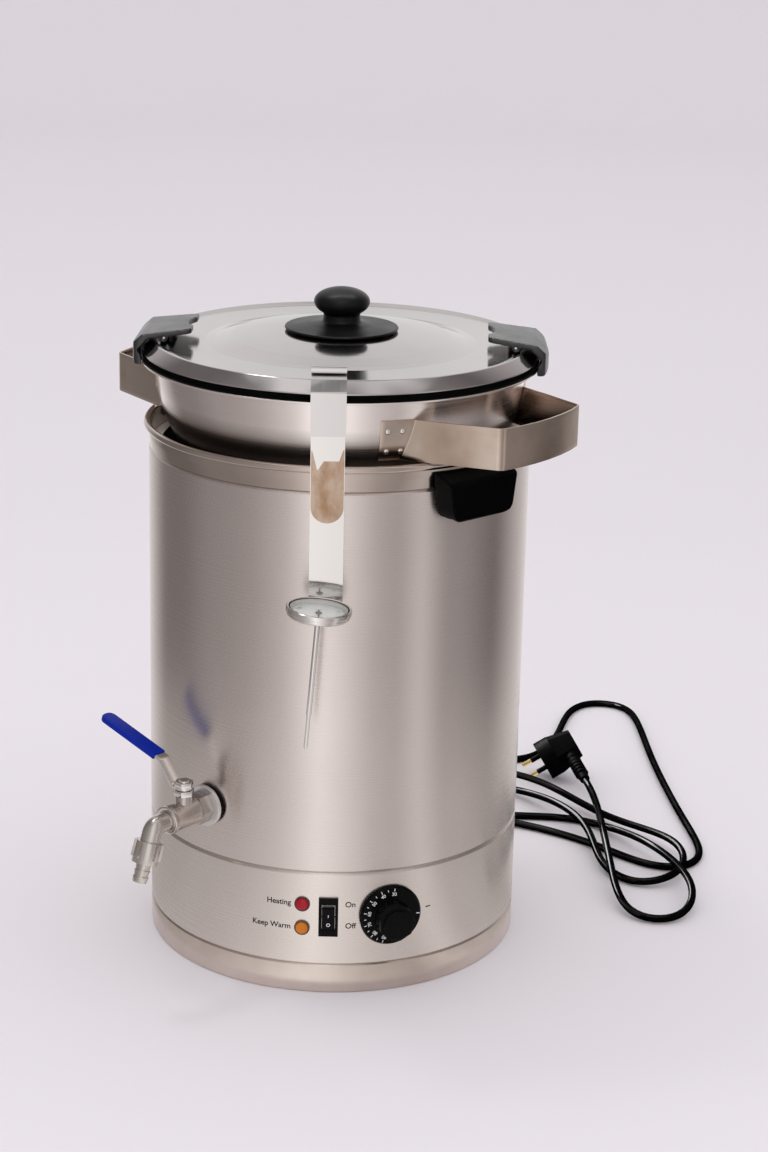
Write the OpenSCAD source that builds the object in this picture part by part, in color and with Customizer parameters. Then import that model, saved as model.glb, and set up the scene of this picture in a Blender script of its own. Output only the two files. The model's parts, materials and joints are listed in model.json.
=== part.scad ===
/* [Urn body] */
// Outside radius of the urn
urn_r = 150; // [140:1:158]
// Thickness of the sheet steel
sheet = 1; // [0.8:0.1:1.4]
// Height of the base skirt
skirt_h = 24; // [18:1:32]
// Height of the control housing
housing_h = 78; // [72:1:95]
// Height of the outer jacket
jacket_h = 303.6; // [290:0.1:330]
// Height from the jacket's top to the middle of the rolled bead
rim_h = 17.3; // [15:0.1:22]
// Radius of the rolled bead's round section
bead_r = 2.8; // [2:0.1:3.5]
// How far the bead stands out past the jacket
bead_out = 4; // [3:0.1:5]
// Gap between the jacket and the water tank
tank_gap = 8; // [7:0.5:12]
// Width of the flanges that join the shells
flange_w = 20; // [16:1:26]
// Bevel of the seam edges
seam = 1.2; // [0.8:0.1:1.8]

/* [Pot] */
// Outside radius of the round bowl
bowl_r = 144.6; // [136:0.1:145]
// Wall of the bowl
bowl_wall = 1; // [0.8:0.1:1.5]
// Height of the bowl's rim above the bead
bowl_rise = 48.3; // [44:0.1:60]
// Height of the bowl's round centre above its rim
bowl_centre = 2; // [1:0.5:4]
// Radius of the bowl's flat bottom
bowl_flat = 60; // [45:1:75]
// Outside radius of the rim lip
lip_r = 155.5; // [152:0.1:157]
// Direction of the right strip handle
grip_angle = 52; // [40:1:65]
// Radius of the strip handle's outer bar
grip_r = 196; // [186:1:206]
// Height of the handle strip
grip_h = 31.5; // [26:0.5:36]
// Thickness of the handle strip
grip_t = 1.6; // [1.2:0.1:2.2]
// Half angle between the outer bar's corners
grip_corner = 15; // [12:0.5:18]
// Half angle where the arms meet the bowl
grip_foot = 32; // [28:0.5:34]
// Angle covered by each riveted tab
grip_tab = 9; // [8:0.5:11]
// Rivet head radius
rivet_r = 2.2; // [1.6:0.1:2.6]

/* [Lid] */
// Outside radius of the lid
lid_r = 154.5; // [152:0.1:155]
// Radius of the lid's shoulder
shoulder_r = 146; // [143:0.5:148]
// Height of the bevel from edge to shoulder
bevel_h = 8.5; // [7:0.1:10]
// Depth of the dished deck below the shoulder
dish = 2; // [1:0.1:2.5]
// Radius of the raised middle panel
panel_r = 99; // [90:1:104]
// Rise of the middle panel above the deck
panel_rise = 3; // [2:0.1:4]
// Rise of the domed middle above the panel's edge
crown = 6; // [3:0.5:6.5]
// Height of the black gasket under the lid's edge
gasket_h = 5.5; // [4:0.1:7]
// Width of the gasket
gasket_w = 7; // [5:0.5:8]
// Radius of the knob's flat skirt
skirt_r = 44.6; // [38:0.1:48]
// Radius of the knob's ball
ball_r = 21.8; // [18:0.1:24]
// Radius of the knob's stem
knob_stem_r = 14.8; // [12:0.1:16]
// Radius of the knob's collar on the lid
collar_r = 21; // [17:0.1:24]

/* [Lid clips] */
// Width of a clip along the rim
clip_w = 66; // [56:1:74]
// Radius that the clip's inner ears reach in to
clip_in_r = 114; // [108:1:116]
// Direction of the right clip round the lid
clip_angle = 87; // [80:0.5:90]
// Fall of the clip's plate for each unit outward
clip_slope = 0.13; // [0:0.01:0.14]
// Thickness of the clip's top plate
clip_t = 4.5; // [3.5:0.1:5]
// Room under the plate for pressing it
clip_room = 5; // [4.6:0.1:6]
// Radius of the clip's hinge pin
clip_pin_r = 1.5; // [1.2:0.1:2]
// Thickness of the outer jaw
jaw_t = 6; // [4.5:0.5:7]
// Depth of the jaw below the pot's rim
jaw_drop = 3.5; // [2:0.5:6]

/* [Thermometer] */
// Sideways place of the hanging strip
strip_x = -8.5; // [-14:0.5:-4]
// Width of the strip
strip_w = 25; // [20:0.5:28]
// Thickness of the strip and its hook
strip_t = 1; // [0.8:0.1:1.4]
// Height of the gauge's seat above the floor
gauge_seat = 321; // [310:1:330]
// Radius of the gauge case
gauge_r = 24.3; // [22:0.1:26]
// Height of the gauge case
gauge_h = 7.5; // [6.5:0.1:9]
// Sideways place of the gauge
gauge_x = -13.5; // [-16:0.5:-9]
// Sideways lean of the gauge and its stem
gauge_lean = 4.5; // [0:0.5:6]
// Radius of the probe stem
probe_r = 2; // [1.5:0.1:2.5]
// Length of the probe stem below the seat
probe_l = 104; // [90:1:120]

/* [Tap] */
// Direction of the tap
tap_angle = -40.5; // [-45:0.5:-36]
// Height of the tap above the jacket's lower edge
tap_up = 41; // [36:0.5:50]
// Radius of the tap's threaded spigot
spigot_r = 10; // [9:0.5:10.5]
// Bore radius through the tap
tap_bore = 4.5; // [4:0.1:5]
// Outside radius of the flange washer
flange_r = 16; // [15:0.5:18]
// Radius of the rubber gasket
tap_gasket_r = 17.2; // [16:0.1:19]
// Radius of the valve body
valve_r = 10.5; // [9.8:0.1:11]
// Radius of the spout tube
spout_r = 7.5; // [7:0.1:8]
// Distance from the jacket to the elbow
elbow_out = 60; // [56:0.5:66]
// Angle through which the spout turns down
elbow_turn = 69; // [60:1:80]
// Radius of the union nut
union_r = 11.5; // [10.5:0.1:13]
// Radius of the hose tail
hose_r = 5.6; // [5:0.1:6]
// Distance from the jacket to the tap's stem
stem_out = 27; // [26:0.5:30]
// Radius of the tap's stem
stem_r = 4; // [3:0.1:4]
// Width of the lever strip
lever_w = 13; // [11:0.5:14]
// Thickness of the lever strip
lever_t = 2; // [1.6:0.1:2.5]
// Reach of the lever
lever_reach = 84; // [76:1:92]

/* [Controls] */
// Height of the control row above the skirt
panel_up = 41; // [38:0.5:44]
// Direction of the rocker switch
switch_angle = -1; // [-2:0.5:0.5]
// Width of the switch bezel
bezel_w = 15.1; // [14:0.1:16]
// Height of the switch bezel
bezel_h = 31.9; // [30:0.1:34]
// Direction of the two lamps
lamp_angle = -8.8; // [-11:0.1:-8.5]
// Radius of a lamp's bezel
lamp_r = 6.1; // [5.5:0.1:6.5]
// Height between the lamps
lamp_pitch = 20; // [17:0.5:24]
// Direction of the thermostat knob
knob_angle = 17.5; // [16:0.5:21]
// Radius of the knob's printed skirt
dial_r = 22.9; // [21:0.1:24]
// Radius of the knob's grip
grip_knob_r = 13.4; // [12:0.1:14.5]
// How far the knob's grip stands out
grip_knob_l = 18; // [15:0.5:21]
// Radius of the thermostat shaft
shaft_r = 3; // [2.5:0.1:3.2]

/* [Side handles] */
// Direction of the right side handle
ear_angle = 41; // [38:1:46]
// Width of a side handle
ear_w = 70; // [62:1:78]
// How far a side handle stands out
ear_out = 16; // [14:0.5:20]
// Height of a side handle's front
ear_h = 32; // [28:0.5:36]
// Radius of a side handle's lower corners
ear_corner = 9; // [6:0.5:11]
// Wall of a side handle round its finger recess
ear_wall = 4; // [3:0.5:5]

/* [Cord] */
// Diameter of the mains cord
cord_d = 6.5; // [6:0.1:7]
// Radius of the plug's round body
plug_r = 19; // [18:0.5:20]

/* [Hidden] */
$fn = 96;

// Clearances: running fits, loose seats and curved faces of separate bodies
fit = 0.05;
loose = 0.3;
seat = 0.05;
cut = 1;
// Depth that holes reach in behind the urn's curved wall
wall_cut = 8;

// Heights of the urn's shells
z_jacket = skirt_h + housing_h;
z_rim = z_jacket + jacket_h;
z_bead = z_rim + rim_h;
rim_top = z_bead + bead_r;
bead_mid_r = urn_r + bead_out - bead_r;
band_r = bead_mid_r - bead_r + sheet;
tank_r = urn_r - sheet - tank_gap;
tank_lift = 8;
z_tank = z_jacket + tank_lift;
ledge_z = z_rim + sheet;
housing_in = urn_r - sheet;

// Heights and radii of the pot and lid
lip_top = rim_top + bowl_rise;
bowl_z = lip_top + bowl_centre;
bowl_bottom = bowl_z - sqrt(pow(bowl_r, 2) - pow(bowl_flat, 2));
grip_z = rim_top + loose;
lid_z = lip_top + gasket_h;
shoulder_z = lid_z + sheet + bevel_h;
deck_z = shoulder_z - dish;
panel_z = deck_z + panel_rise;
dish_r = shoulder_r - 4;
crown_z = panel_z + crown;
collar_h = 1;
knob_z = crown_z + collar_h;
// Radius that the lid's flat edge and its gasket reach in to
seal_in = min(lid_r, lip_r) - gasket_w;

// Places of the clips' hinge
hinge_r = dish_r - 6.5;
plate_z = deck_z + clip_room;
hinge_z = plate_z - 1;
knuckle_r = clip_pin_r + 0.9;
bracket_w = 40;
// Radius that the clips' jaws and the thermometer's hook pass outside of
over_r = max(lip_r, lid_r + 1, shoulder_r + bevel_h + 1, urn_r + bead_out + 1.5);
jaw_in = over_r + 0.4;

// Places of the thermometer
strip_y = -(over_r + 2);
gauge_y = strip_y - strip_t - gauge_r - 1;
bezel_wall = 1.6;
shelf_w = 16;

// Places of the tap along its own axis, outward being -Y
tap_z = z_jacket + tap_up;
washer_y = -urn_r - 4.5;
hex_y = washer_y - 12;
spigot_in = 10;
hex_af = 2 * valve_r + 1;
stem_y = -urn_r - stem_out;
valve_end = stem_y - 15;
collar_y = valve_end - 4;
elbow_y = -urn_r - elbow_out;
ball_seat = 7.2;
boss_top = tap_z + 16;
lever_z = boss_top + 5;

// Height of the control row
panel_z0 = skirt_h + panel_up;
barrel_r = lamp_r - 1;
bush_r = shaft_r + 1.8;
switch_w = bezel_w - 2.4;
switch_h = bezel_h - 3.8;

// Places of the side handles
ear_top = z_rim + 12.5;
ear_z = z_rim - 25;
ear_screw_turn = 8;
ear_screw_r = 1.5;
ear_screw_l = 9;
ear_screw_z = z_rim - sheet - 2 * seam - 2 * ear_screw_r - loose;
ear_roof = 1.4;

// Cord: the gland's mouth at the back, points chosen by hand, then the plug's tail
cord_floor = cord_d / 2 + 0.1;
gland_z = 60;
gland_l = 18;
gland_r = cord_d;
gland_flange = 6;
cord_steps = 2;
plug_at = [211, 302];
plug_face = 14;
plug_back = 22;
plug_dip = 15;
plug_tilt = 30;
plug_turn = 8;
plug_z = plug_face * sin(plug_tilt) + plug_r * cos(plug_tilt) + 0.1;
tail_x = 12;
tail_l = 34;
// X, Y and height above where the cord lies on the floor: the cord is drawn smoothly toward each
cord_points = [[0, 190, 57], [10, 226, 47], [48, 229, 26], [100, 202, 3], [172, 183, 0],
    [232, 142, 0], [274, 90, 0], [312, 88, 0], [331, 122, 0], [321, 190, 0], [308, 340, 0],
    [308, 448, 0], [299, 494, 0], [257, 502, 0], [234, 464, 0], [222, 396, 0], [192, 334, 0],
    [148, 338, 0], [117, 302, 2], [145, 262, 21], [198, 256, 13], [250, 190, 0], [310, 128, 13],
    [309, 66, 6], [262, 46, 0], [232, 90, 0], [231, 142, 15], [206, 200, 15], [168, 266, 0],
    [114, 280, 0], [88, 231, 0], [136, 196, 0], [212, 202, 0], [254, 174, 0], [278, 100, 20],
    [314, 36, 12], [296, -22, 0], [242, -16, 0], [240, 64, 14], [240, 165, 19]];

// Sheet colours as the object shows them
steel = [0.78, 0.76, 0.74];
warm_steel = [0.66, 0.60, 0.54];
black = [0.08, 0.08, 0.09];
grey_black = [0.22, 0.21, 0.22];
brass = [0.75, 0.62, 0.35];
rubber = [0.12, 0.12, 0.12];

// Turns a part made at the front, facing -Y, to its direction round the urn
module facing(angle) {
    rotate([0, 0, angle]) children();
}

// A rectangle in the turning plane, from one radius and height to another
module band(r_in, r_out, z_low, z_high) {
    translate([r_in, z_low]) square([r_out - r_in, z_high - z_low]);
}

// A cylinder along -Y, from one depth out to another
module outward(r, y_in, y_out) {
    translate([0, y_in, 0]) rotate([90, 0, 0]) cylinder(r = r, h = y_in - y_out);
}

// A hexagonal bar along -Y, from one depth out to another
module outward_hex(across, y_in, y_out) {
    translate([0, y_in, 0]) rotate([90, 0, 0]) cylinder(d = across / cos(30), h = y_in - y_out, $fn = 6);
}

// A bar across X with its flat outline drawn as [distance out, height]
module across(width) {
    rotate([90, 0, -90]) translate([0, 0, -width / 2]) linear_extrude(width) children();
}

// One shell with bevelled seam edges and a flange at each end
module shell(z_low, z_high, bevel_low, bevel_high) {
    r = urn_r;
    rotate_extrude() difference() {
        polygon([[r - flange_w, z_low], [r - bevel_low, z_low], [r, z_low + bevel_low],
            [r, z_high - bevel_high], [r - bevel_high, z_high], [r - flange_w, z_high]]);
        polygon([[0, z_low + sheet], [r - sheet - bevel_low, z_low + sheet],
            [r - sheet, z_low + sheet + bevel_low], [r - sheet, z_high - sheet - bevel_high],
            [r - sheet - bevel_high, z_high - sheet], [0, z_high - sheet]]);
    }
}

// Screws that hold the base pan to the housing, set round the flanges
base_screw_r = 2;
base_screw_n = 6;
base_screw_at = urn_r - flange_w / 2 - 1;
module base_screw_places() {
    for (i = [0 : base_screw_n - 1])
        rotate([0, 0, 30 + i * 360 / base_screw_n]) translate([base_screw_at, 0, skirt_h]) children();
}

// Closed pan with a skirt, a ring of vent holes and access holes for its screws
module base_pan() {
    vent_n = 12;
    vent_r = 4;
    color(steel) difference() {
        union() {
            shell(0, skirt_h, sheet, seam);
            cylinder(r = urn_r - sheet, h = sheet);
        }
        for (i = [0 : vent_n - 1])
            rotate([0, 0, i * 360 / vent_n]) translate([0.6 * urn_r, 0, -cut])
                cylinder(r = vent_r, h = sheet + 2 * cut);
        base_screw_places() translate([0, 0, -sheet - cut])
            cylinder(r = base_screw_r + fit, h = sheet + 2 * cut);
        base_screw_places() translate([0, 0, -skirt_h - cut])
            cylinder(r = 2 * base_screw_r + cut, h = sheet + 2 * cut);
    }
}

module base_screws() {
    head_h = 2.2;
    thread_l = 4;
    color(steel) base_screw_places() {
        translate([0, 0, -sheet - head_h]) cylinder(r = 2 * base_screw_r, h = head_h);
        translate([0, 0, -sheet]) cylinder(r = base_screw_r, h = 2 * sheet + thread_l);
    }
}

// Lower shell that carries the controls
module control_housing() {
    color(steel) difference() {
        shell(skirt_h, z_jacket, seam, seam);
        base_screw_places() translate([0, 0, -cut])
            cylinder(r = base_screw_r + fit, h = sheet + 2 * cut);
        facing(switch_angle) translate([0, -urn_r, panel_z0])
            cube([switch_w + loose, 2 * wall_cut, switch_h + loose], center = true);
        lamp_places() outward(barrel_r + fit, -urn_r + wall_cut, -urn_r - cut);
        facing(knob_angle) translate([0, 0, panel_z0])
            outward(bush_r + fit, -urn_r + wall_cut, -urn_r - cut);
        facing(180) translate([0, 0, gland_z])
            outward(gland_r + fit, -urn_r + wall_cut, -urn_r - cut);
    }
}

// Tall outer wall with the tap's hole and the side handles' screw holes
module outer_jacket() {
    color(steel) difference() {
        shell(z_jacket, z_rim, seam, 2 * seam);
        translate([0, 0, z_jacket - cut]) cylinder(r = tank_r + loose, h = jacket_h + 2 * cut);
        on_tap() outward(spigot_r + loose, -urn_r + wall_cut, -urn_r - cut);
        ear_screw_places() outward(ear_screw_r + fit, -urn_r + wall_cut, -urn_r - cut);
    }
}

// Ring that closes the jacket, with an inner ledge and a rolled bead
module rim_ring() {
    color(steel) rotate_extrude() {
        band(band_r - sheet, band_r, z_rim, z_bead);
        band(tank_r + loose, band_r, ledge_z - sheet, ledge_z);
        translate([bead_mid_r, z_bead]) circle(r = bead_r);
    }
}

// Inner tank for the water bath, hung by its flange on the rim's ledge
module water_tank() {
    color(steel) difference() {
        rotate_extrude() {
            band(tank_r - sheet, tank_r, z_tank, ledge_z);
            band(0, tank_r, z_tank, z_tank + sheet);
            band(tank_r - sheet, band_r - sheet - loose, ledge_z, ledge_z + sheet);
        }
        on_tap() outward(spigot_r + loose, -tank_r + wall_cut, -tank_r - cut);
    }
}

// Aluminium plate under the tank with the tubular element pressed against it
plate_t = 5;
module heat_plate() {
    color([0.8, 0.8, 0.82]) translate([0, 0, z_tank - plate_t]) cylinder(r = 0.6 * urn_r, h = plate_t);
}

element_r = 4;
module heating_element() {
    ring_r = 0.46 * urn_r;
    ring_z = z_tank - plate_t - element_r;
    leg_l = 22;
    gap_w = 3 * element_r;
    color(warm_steel) difference() {
        union() {
            rotate_extrude() translate([ring_r, ring_z]) circle(r = element_r);
            for (side = [-1, 1])
                translate([side * gap_w, ring_r, ring_z - leg_l]) cylinder(r = element_r - 0.5, h = leg_l);
        }
        translate([-gap_w / 2, ring_r - 2 * element_r, ring_z - 2 * element_r])
            cube([gap_w, 4 * element_r, 4 * element_r]);
    }
}

// Capillary thermostat fixed behind the housing's wall
module thermostat_body() {
    box = [42, 26, 34];
    box_y = -urn_r + 3;
    shoulder = 8;
    shoulder_y = -sqrt(pow(housing_in, 2) - pow(shoulder, 2)) + seat;
    color(black) facing(knob_angle) translate([0, 0, panel_z0]) difference() {
        union() {
            translate([-box[0] / 2, box_y, -box[2] / 2]) cube(box);
            outward(shoulder, box_y + cut, shoulder_y);
            outward(bush_r, box_y + cut, -urn_r - 0.6);
        }
        outward(shaft_r + fit, -urn_r + shaft_in + 2, -urn_r - 2 * cut);
    }
}

shaft_in = 15;
shaft_out = 13;
module thermostat_shaft() {
    color(steel) facing(knob_angle) translate([0, 0, panel_z0])
        outward(shaft_r, -urn_r + shaft_in, -urn_r - shaft_out);
}

// Sensor bulb held under the tank beside the heat plate
module sensor_bulb() {
    bulb_r = 4;
    bulb_l = 80;
    color(brass) translate([-bulb_l / 2, -0.72 * urn_r, z_tank - bulb_r])
        rotate([0, 90, 0]) cylinder(r = bulb_r, h = bulb_l);
}

module terminal_block() {
    block = [52, 24, 18];
    poles = 5;
    pole_r = 2.4;
    color([0.85, 0.85, 0.8]) translate([-block[0] / 2, 40, sheet]) difference() {
        cube(block);
        for (i = [0 : poles - 1])
            translate([(i + 0.5) * block[0] / poles, block[1] / 2, block[2] / 2])
                cylinder(r = pole_r, h = block[2]);
    }
}

// Snap-in switch body with a pocket and side bores for the rocker
pocket_w = bezel_w - 4.6;
pocket_h = bezel_h - 10.6;
rocker_axis = -urn_r + 1.5;
rocker_pin_r = 1.4;
rocker_tilt = 9;
module switch_housing() {
    lip_t = 2;
    color(black) facing(switch_angle) translate([0, 0, panel_z0]) difference() {
        union() {
            translate([-bezel_w / 2, -urn_r - lip_t, -bezel_h / 2]) cube([bezel_w, lip_t, bezel_h]);
            translate([-switch_w / 2, -urn_r, -switch_h / 2]) cube([switch_w, 24, switch_h]);
        }
        translate([-pocket_w / 2, -urn_r - lip_t - cut, -pocket_h / 2])
            cube([pocket_w, lip_t + cut + wall_cut, pocket_h]);
        translate([0, rocker_axis, 0]) rotate([0, 90, 0])
            cylinder(r = rocker_pin_r + fit, h = pocket_w + 1.6, center = true);
    }
}

// Rocker, stored tilted to its off side
module rocker() {
    half = pocket_h / 2 - 0.9;
    width = pocket_w - 2 * loose;
    color([0.14, 0.14, 0.15]) facing(switch_angle) translate([0, rocker_axis, panel_z0])
        rotate([rocker_tilt, 0, 0]) {
            across(width) polygon([[5.2, -half], [3.6, 0], [5.2, half], [-2, half - 1.4],
                [-2, 1.4 - half]]);
            rotate([0, 90, 0]) cylinder(r = rocker_pin_r, h = pocket_w + 1.4, center = true);
        }
}

// Both lamp bezels, with their barrels through the housing wall
module lamp_places() {
    for (side = [-1, 1])
        facing(lamp_angle) translate([0, 0, panel_z0 + side * lamp_pitch / 2]) children();
}

lens_r = lamp_r - 1.4;
module lamp_bezels() {
    color(black) lamp_places() difference() {
        union() {
            outward(lamp_r, -urn_r, -urn_r - 1.4);
            outward(barrel_r, -urn_r + 14, -urn_r);
        }
        outward(lens_r + fit, -urn_r + wall_cut, -urn_r - 2 * cut);
    }
}

// A round-topped lamp lens standing in its bezel
module lamp_lens(side) {
    dome = 2 * lens_r;
    facing(lamp_angle) translate([0, 0, panel_z0 + side * lamp_pitch / 2]) intersection() {
        outward(lens_r, -urn_r + wall_cut, -urn_r - 6);
        translate([0, -urn_r - 3 + dome, 0]) sphere(r = dome);
    }
}

module red_lamp() {
    color([0.8, 0.05, 0.12]) lamp_lens(1);
}

module amber_lamp() {
    color([0.85, 0.4, 0.05]) lamp_lens(-1);
}

// Thermostat knob: printed skirt, many-sided grip with a pointer rib
module dial_knob() {
    dial_y = -urn_r - 1.4;
    dial_t = 2.6;
    sides = 9;
    cap = 2.5;
    color(black) facing(knob_angle) translate([0, 0, panel_z0]) difference() {
        translate([0, dial_y, 0]) rotate([90, 0, 0]) {
            cylinder(r1 = dial_r, r2 = dial_r - 1.5, h = dial_t);
            translate([0, 0, dial_t]) cylinder(r = grip_knob_r, h = grip_knob_l - cap, $fn = sides);
            translate([0, 0, dial_t + grip_knob_l - cap]) cylinder(r = grip_knob_r - cap, h = cap);
        }
        outward(shaft_r + fit / 2, -urn_r + cut, -urn_r - shaft_out);
    }
}

// Screws of the side handles, put in from inside the jacket
module ear_screw_places() {
    for (turn = [ear_angle, ear_angle + 180], side = [-1, 1])
        facing(turn + side * ear_screw_turn) translate([0, 0, ear_screw_z]) children();
}

module handle_screws() {
    color(steel) ear_screw_places() {
        outward(2 * ear_screw_r, -housing_in + 2.4, -housing_in + 0.2);
        outward(ear_screw_r, -housing_in + 1, -urn_r - ear_screw_l);
    }
}

// Moulded lug with a finger recess open at the bottom
module side_handle(turn) {
    front = urn_r + ear_out;
    back = urn_r - ear_wall;
    low = ear_z;
    facing(turn) difference() {
        intersection() {
            across(ear_w) polygon([[back, low + 2], [front - 3, low], [front, low + 3],
                [front, low + ear_h - 2], [front - 2, low + ear_h], [urn_r, ear_top], [back, ear_top]]);
            rotate([90, 0, 0]) translate([0, 0, back - cut]) linear_extrude(ear_out + 2 * ear_wall) {
                translate([-ear_w / 2, low + ear_corner]) square([ear_w, ear_h + ear_out]);
                translate([ear_corner - ear_w / 2, low]) square([ear_w - 2 * ear_corner, ear_h]);
                for (side = [-1, 1])
                    translate([side * (ear_w / 2 - ear_corner), low + ear_corner]) circle(r = ear_corner);
            }
        }
        translate([0, 0, low - cut]) cylinder(r = urn_r + seat, h = ear_h + ear_out + 2 * cut);
        translate([-ear_w / 2 + ear_wall, -front + ear_wall, low - cut])
            cube([ear_w - 2 * ear_wall, ear_out, ear_screw_z - ear_screw_r - ear_roof - low + cut]);
        for (side = [-1, 1])
            facing(side * ear_screw_turn) translate([0, 0, ear_screw_z])
                outward(ear_screw_r + fit, -urn_r + wall_cut, -urn_r - ear_screw_l - 0.5);
    }
}

module side_handle_right() {
    color(black) side_handle(ear_angle);
}

module side_handle_left() {
    color(black) side_handle(ear_angle + 180);
}

// Puts a part made on the tap's axis, outward being -Y, in its place
module on_tap() {
    facing(tap_angle) translate([0, 0, tap_z]) children();
}

// Rubber ring shaped to the curved jacket
module tap_gasket() {
    color(rubber) on_tap() difference() {
        outward(tap_gasket_r, -urn_r + 2, washer_y + 2);
        outward(spigot_r + seat, -urn_r + 3, washer_y);
        cylinder(r = urn_r + seat, h = 4 * tap_gasket_r, center = true, $fn = 360);
    }
}

module tap_flange() {
    color(steel) on_tap() difference() {
        outward(flange_r, washer_y + 2, washer_y);
        outward(spigot_r + seat, washer_y + 3, washer_y - cut);
    }
}

// Hexagonal nut inside the tank that clamps the tap
module tap_lock_nut() {
    nut_af = 2 * spigot_r + 7;
    nut_y = -sqrt(pow(tank_r - sheet, 2) - pow(nut_af / cos(30) / 2, 2)) + 0.1;
    color(steel) on_tap() difference() {
        outward_hex(nut_af, nut_y + 6, nut_y);
        outward(spigot_r + seat, nut_y + 7, nut_y - cut);
    }
}

// Ball valve body: threaded spigot, hexagon, round body, collar and stem boss
module valve_body() {
    color(warm_steel) on_tap() difference() {
        union() {
            outward(spigot_r, -tank_r + spigot_in, washer_y);
            outward_hex(hex_af, washer_y, hex_y);
            outward(valve_r, hex_y, valve_end);
            outward(valve_r + 0.8, valve_end, collar_y);
            translate([0, stem_y, 0]) cylinder(r = stem_r + 2.6, h = boss_top - tap_z);
        }
        outward(tap_bore, -tank_r + spigot_in + cut, collar_y - cut);
        translate([0, stem_y, 0]) sphere(r = ball_seat + loose);
        translate([0, stem_y, 0]) cylinder(r = stem_r + fit, h = boss_top - tap_z + cut);
    }
}

// Six-sided nut that holds the stem's packing
packing_h = 4.4;
module packing_nut() {
    color(warm_steel) on_tap() translate([0, stem_y, boss_top - tap_z]) difference() {
        cylinder(d = 2 * (stem_r + 3.2) / cos(30), h = packing_h, $fn = 6);
        translate([0, 0, -cut]) cylinder(r = stem_r + fit, h = packing_h + 2 * cut);
    }
}

// Frame at the elbow's corner, with Z along the spout's way out
module at_spout() {
    on_tap() translate([0, elbow_y, 0]) rotate([90 + elbow_turn, 0, 0]) children();
}

spout_l = 12;
nut_l = 17;
hose_l = 15;
spout_bore = tap_bore - 0.5;
corner_swell = 0.4;
module spout_elbow() {
    color(warm_steel) difference() {
        union() {
            on_tap() outward(spout_r, collar_y, elbow_y);
            at_spout() sphere(r = spout_r + corner_swell);
            at_spout() cylinder(r = spout_r, h = spout_l);
        }
        on_tap() outward(spout_bore, collar_y + cut, elbow_y);
        at_spout() sphere(r = spout_bore + corner_swell);
        at_spout() cylinder(r = spout_bore, h = spout_l + cut);
    }
}

// Ribbed nut that joins the hose tail to the spout
module union_nut() {
    ribs = 8;
    color(warm_steel) at_spout() translate([0, 0, spout_l]) difference() {
        union() {
            cylinder(r = union_r - 1.6, h = nut_l);
            for (i = [0 : ribs - 1])
                rotate([0, 0, i * 360 / ribs]) translate([0, -2, 0]) cube([union_r, 4, nut_l - 4]);
        }
        translate([0, 0, -cut]) cylinder(r = spout_bore, h = nut_l + 2 * cut);
    }
}

// Hose tail with three barbs
module hose_tail() {
    barbs = 3;
    pitch = hose_l / barbs;
    color(warm_steel) at_spout() translate([0, 0, spout_l + nut_l]) difference() {
        union() for (i = [0 : barbs - 1])
            translate([0, 0, i * pitch]) cylinder(r1 = hose_r + 0.5, r2 = hose_r - 0.4, h = pitch);
        translate([0, 0, -cut]) cylinder(r = spout_bore - 0.6, h = hose_l + 2 * cut);
    }
}

// Ball with its port across the pipe while the tap is closed
module valve_ball() {
    color(steel) on_tap() translate([0, stem_y, 0]) difference() {
        sphere(r = ball_seat);
        rotate([0, 90, 0]) cylinder(r = tap_bore, h = 4 * ball_seat, center = true);
        cylinder(r = stem_r + seat, h = 2 * ball_seat);
    }
}

stem_foot = 5.2;
module tap_stem() {
    stem_l = lever_z - tap_z + lever_t + 5 - stem_foot;
    color(steel) on_tap() translate([0, stem_y, stem_foot]) cylinder(r = stem_r, h = stem_l);
}

// Bent lever strip; its outline is [distance along the lever, height]
lever_flat = 9;
lever_knee = [22, 18];
lever_tip_z = 36;
module lever_outline(from_knee, thick) {
    run = lever_reach - lever_knee[0];
    rise = lever_tip_z - lever_knee[1];
    a = [lever_knee[0] + from_knee * run, lever_knee[1] + from_knee * rise];
    b = [lever_reach, lever_tip_z];
    polygon([a + [0, -thick], b + [0, -thick], b + [0, lever_t + thick], a + [0, lever_t + thick]]);
}

module tap_lever() {
    color(steel) on_tap() translate([0, stem_y, lever_z - tap_z]) difference() {
        union() {
            cylinder(r = lever_w / 2, h = lever_t);
            rotate([90, 0, 180]) translate([0, 0, -lever_w / 2]) linear_extrude(lever_w) {
                square([lever_flat, lever_t]);
                polygon([[lever_flat - 1, 0], [lever_flat, 0], [lever_knee[0], lever_knee[1]],
                    [lever_knee[0], lever_knee[1] + lever_t],
                    [lever_knee[0] - 1, lever_knee[1] + lever_t], [lever_flat - 1, lever_t]]);
                lever_outline(0, 0);
            }
        }
        translate([0, 0, -cut]) cylinder(r = stem_r + seat, h = lever_t + 2 * cut);
    }
}

// Blue sleeve over the lever's raised end
module lever_sleeve() {
    cover = 1.2;
    inner = lever_w + 2 * seat;
    color([0.05, 0.15, 0.65]) on_tap() translate([0, stem_y, lever_z - tap_z]) rotate([90, 0, 180]) {
        difference() {
            translate([0, 0, -lever_w / 2 - cover]) linear_extrude(lever_w + 2 * cover) union() {
                lever_outline(0.06, cover);
                translate([lever_reach, lever_tip_z + lever_t / 2]) circle(r = cover + lever_t / 2);
            }
            translate([0, 0, -inner / 2]) linear_extrude(inner) lever_outline(0, seat);
        }
    }
}

module lever_nut() {
    nut_h = 4;
    color(steel) on_tap() translate([0, stem_y, lever_z - tap_z + lever_t]) difference() {
        cylinder(d = 2 * (stem_r + 2.6) / cos(30), h = nut_h, $fn = 6);
        translate([0, 0, -cut]) cylinder(r = stem_r + seat, h = nut_h + 2 * cut);
    }
}

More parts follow.
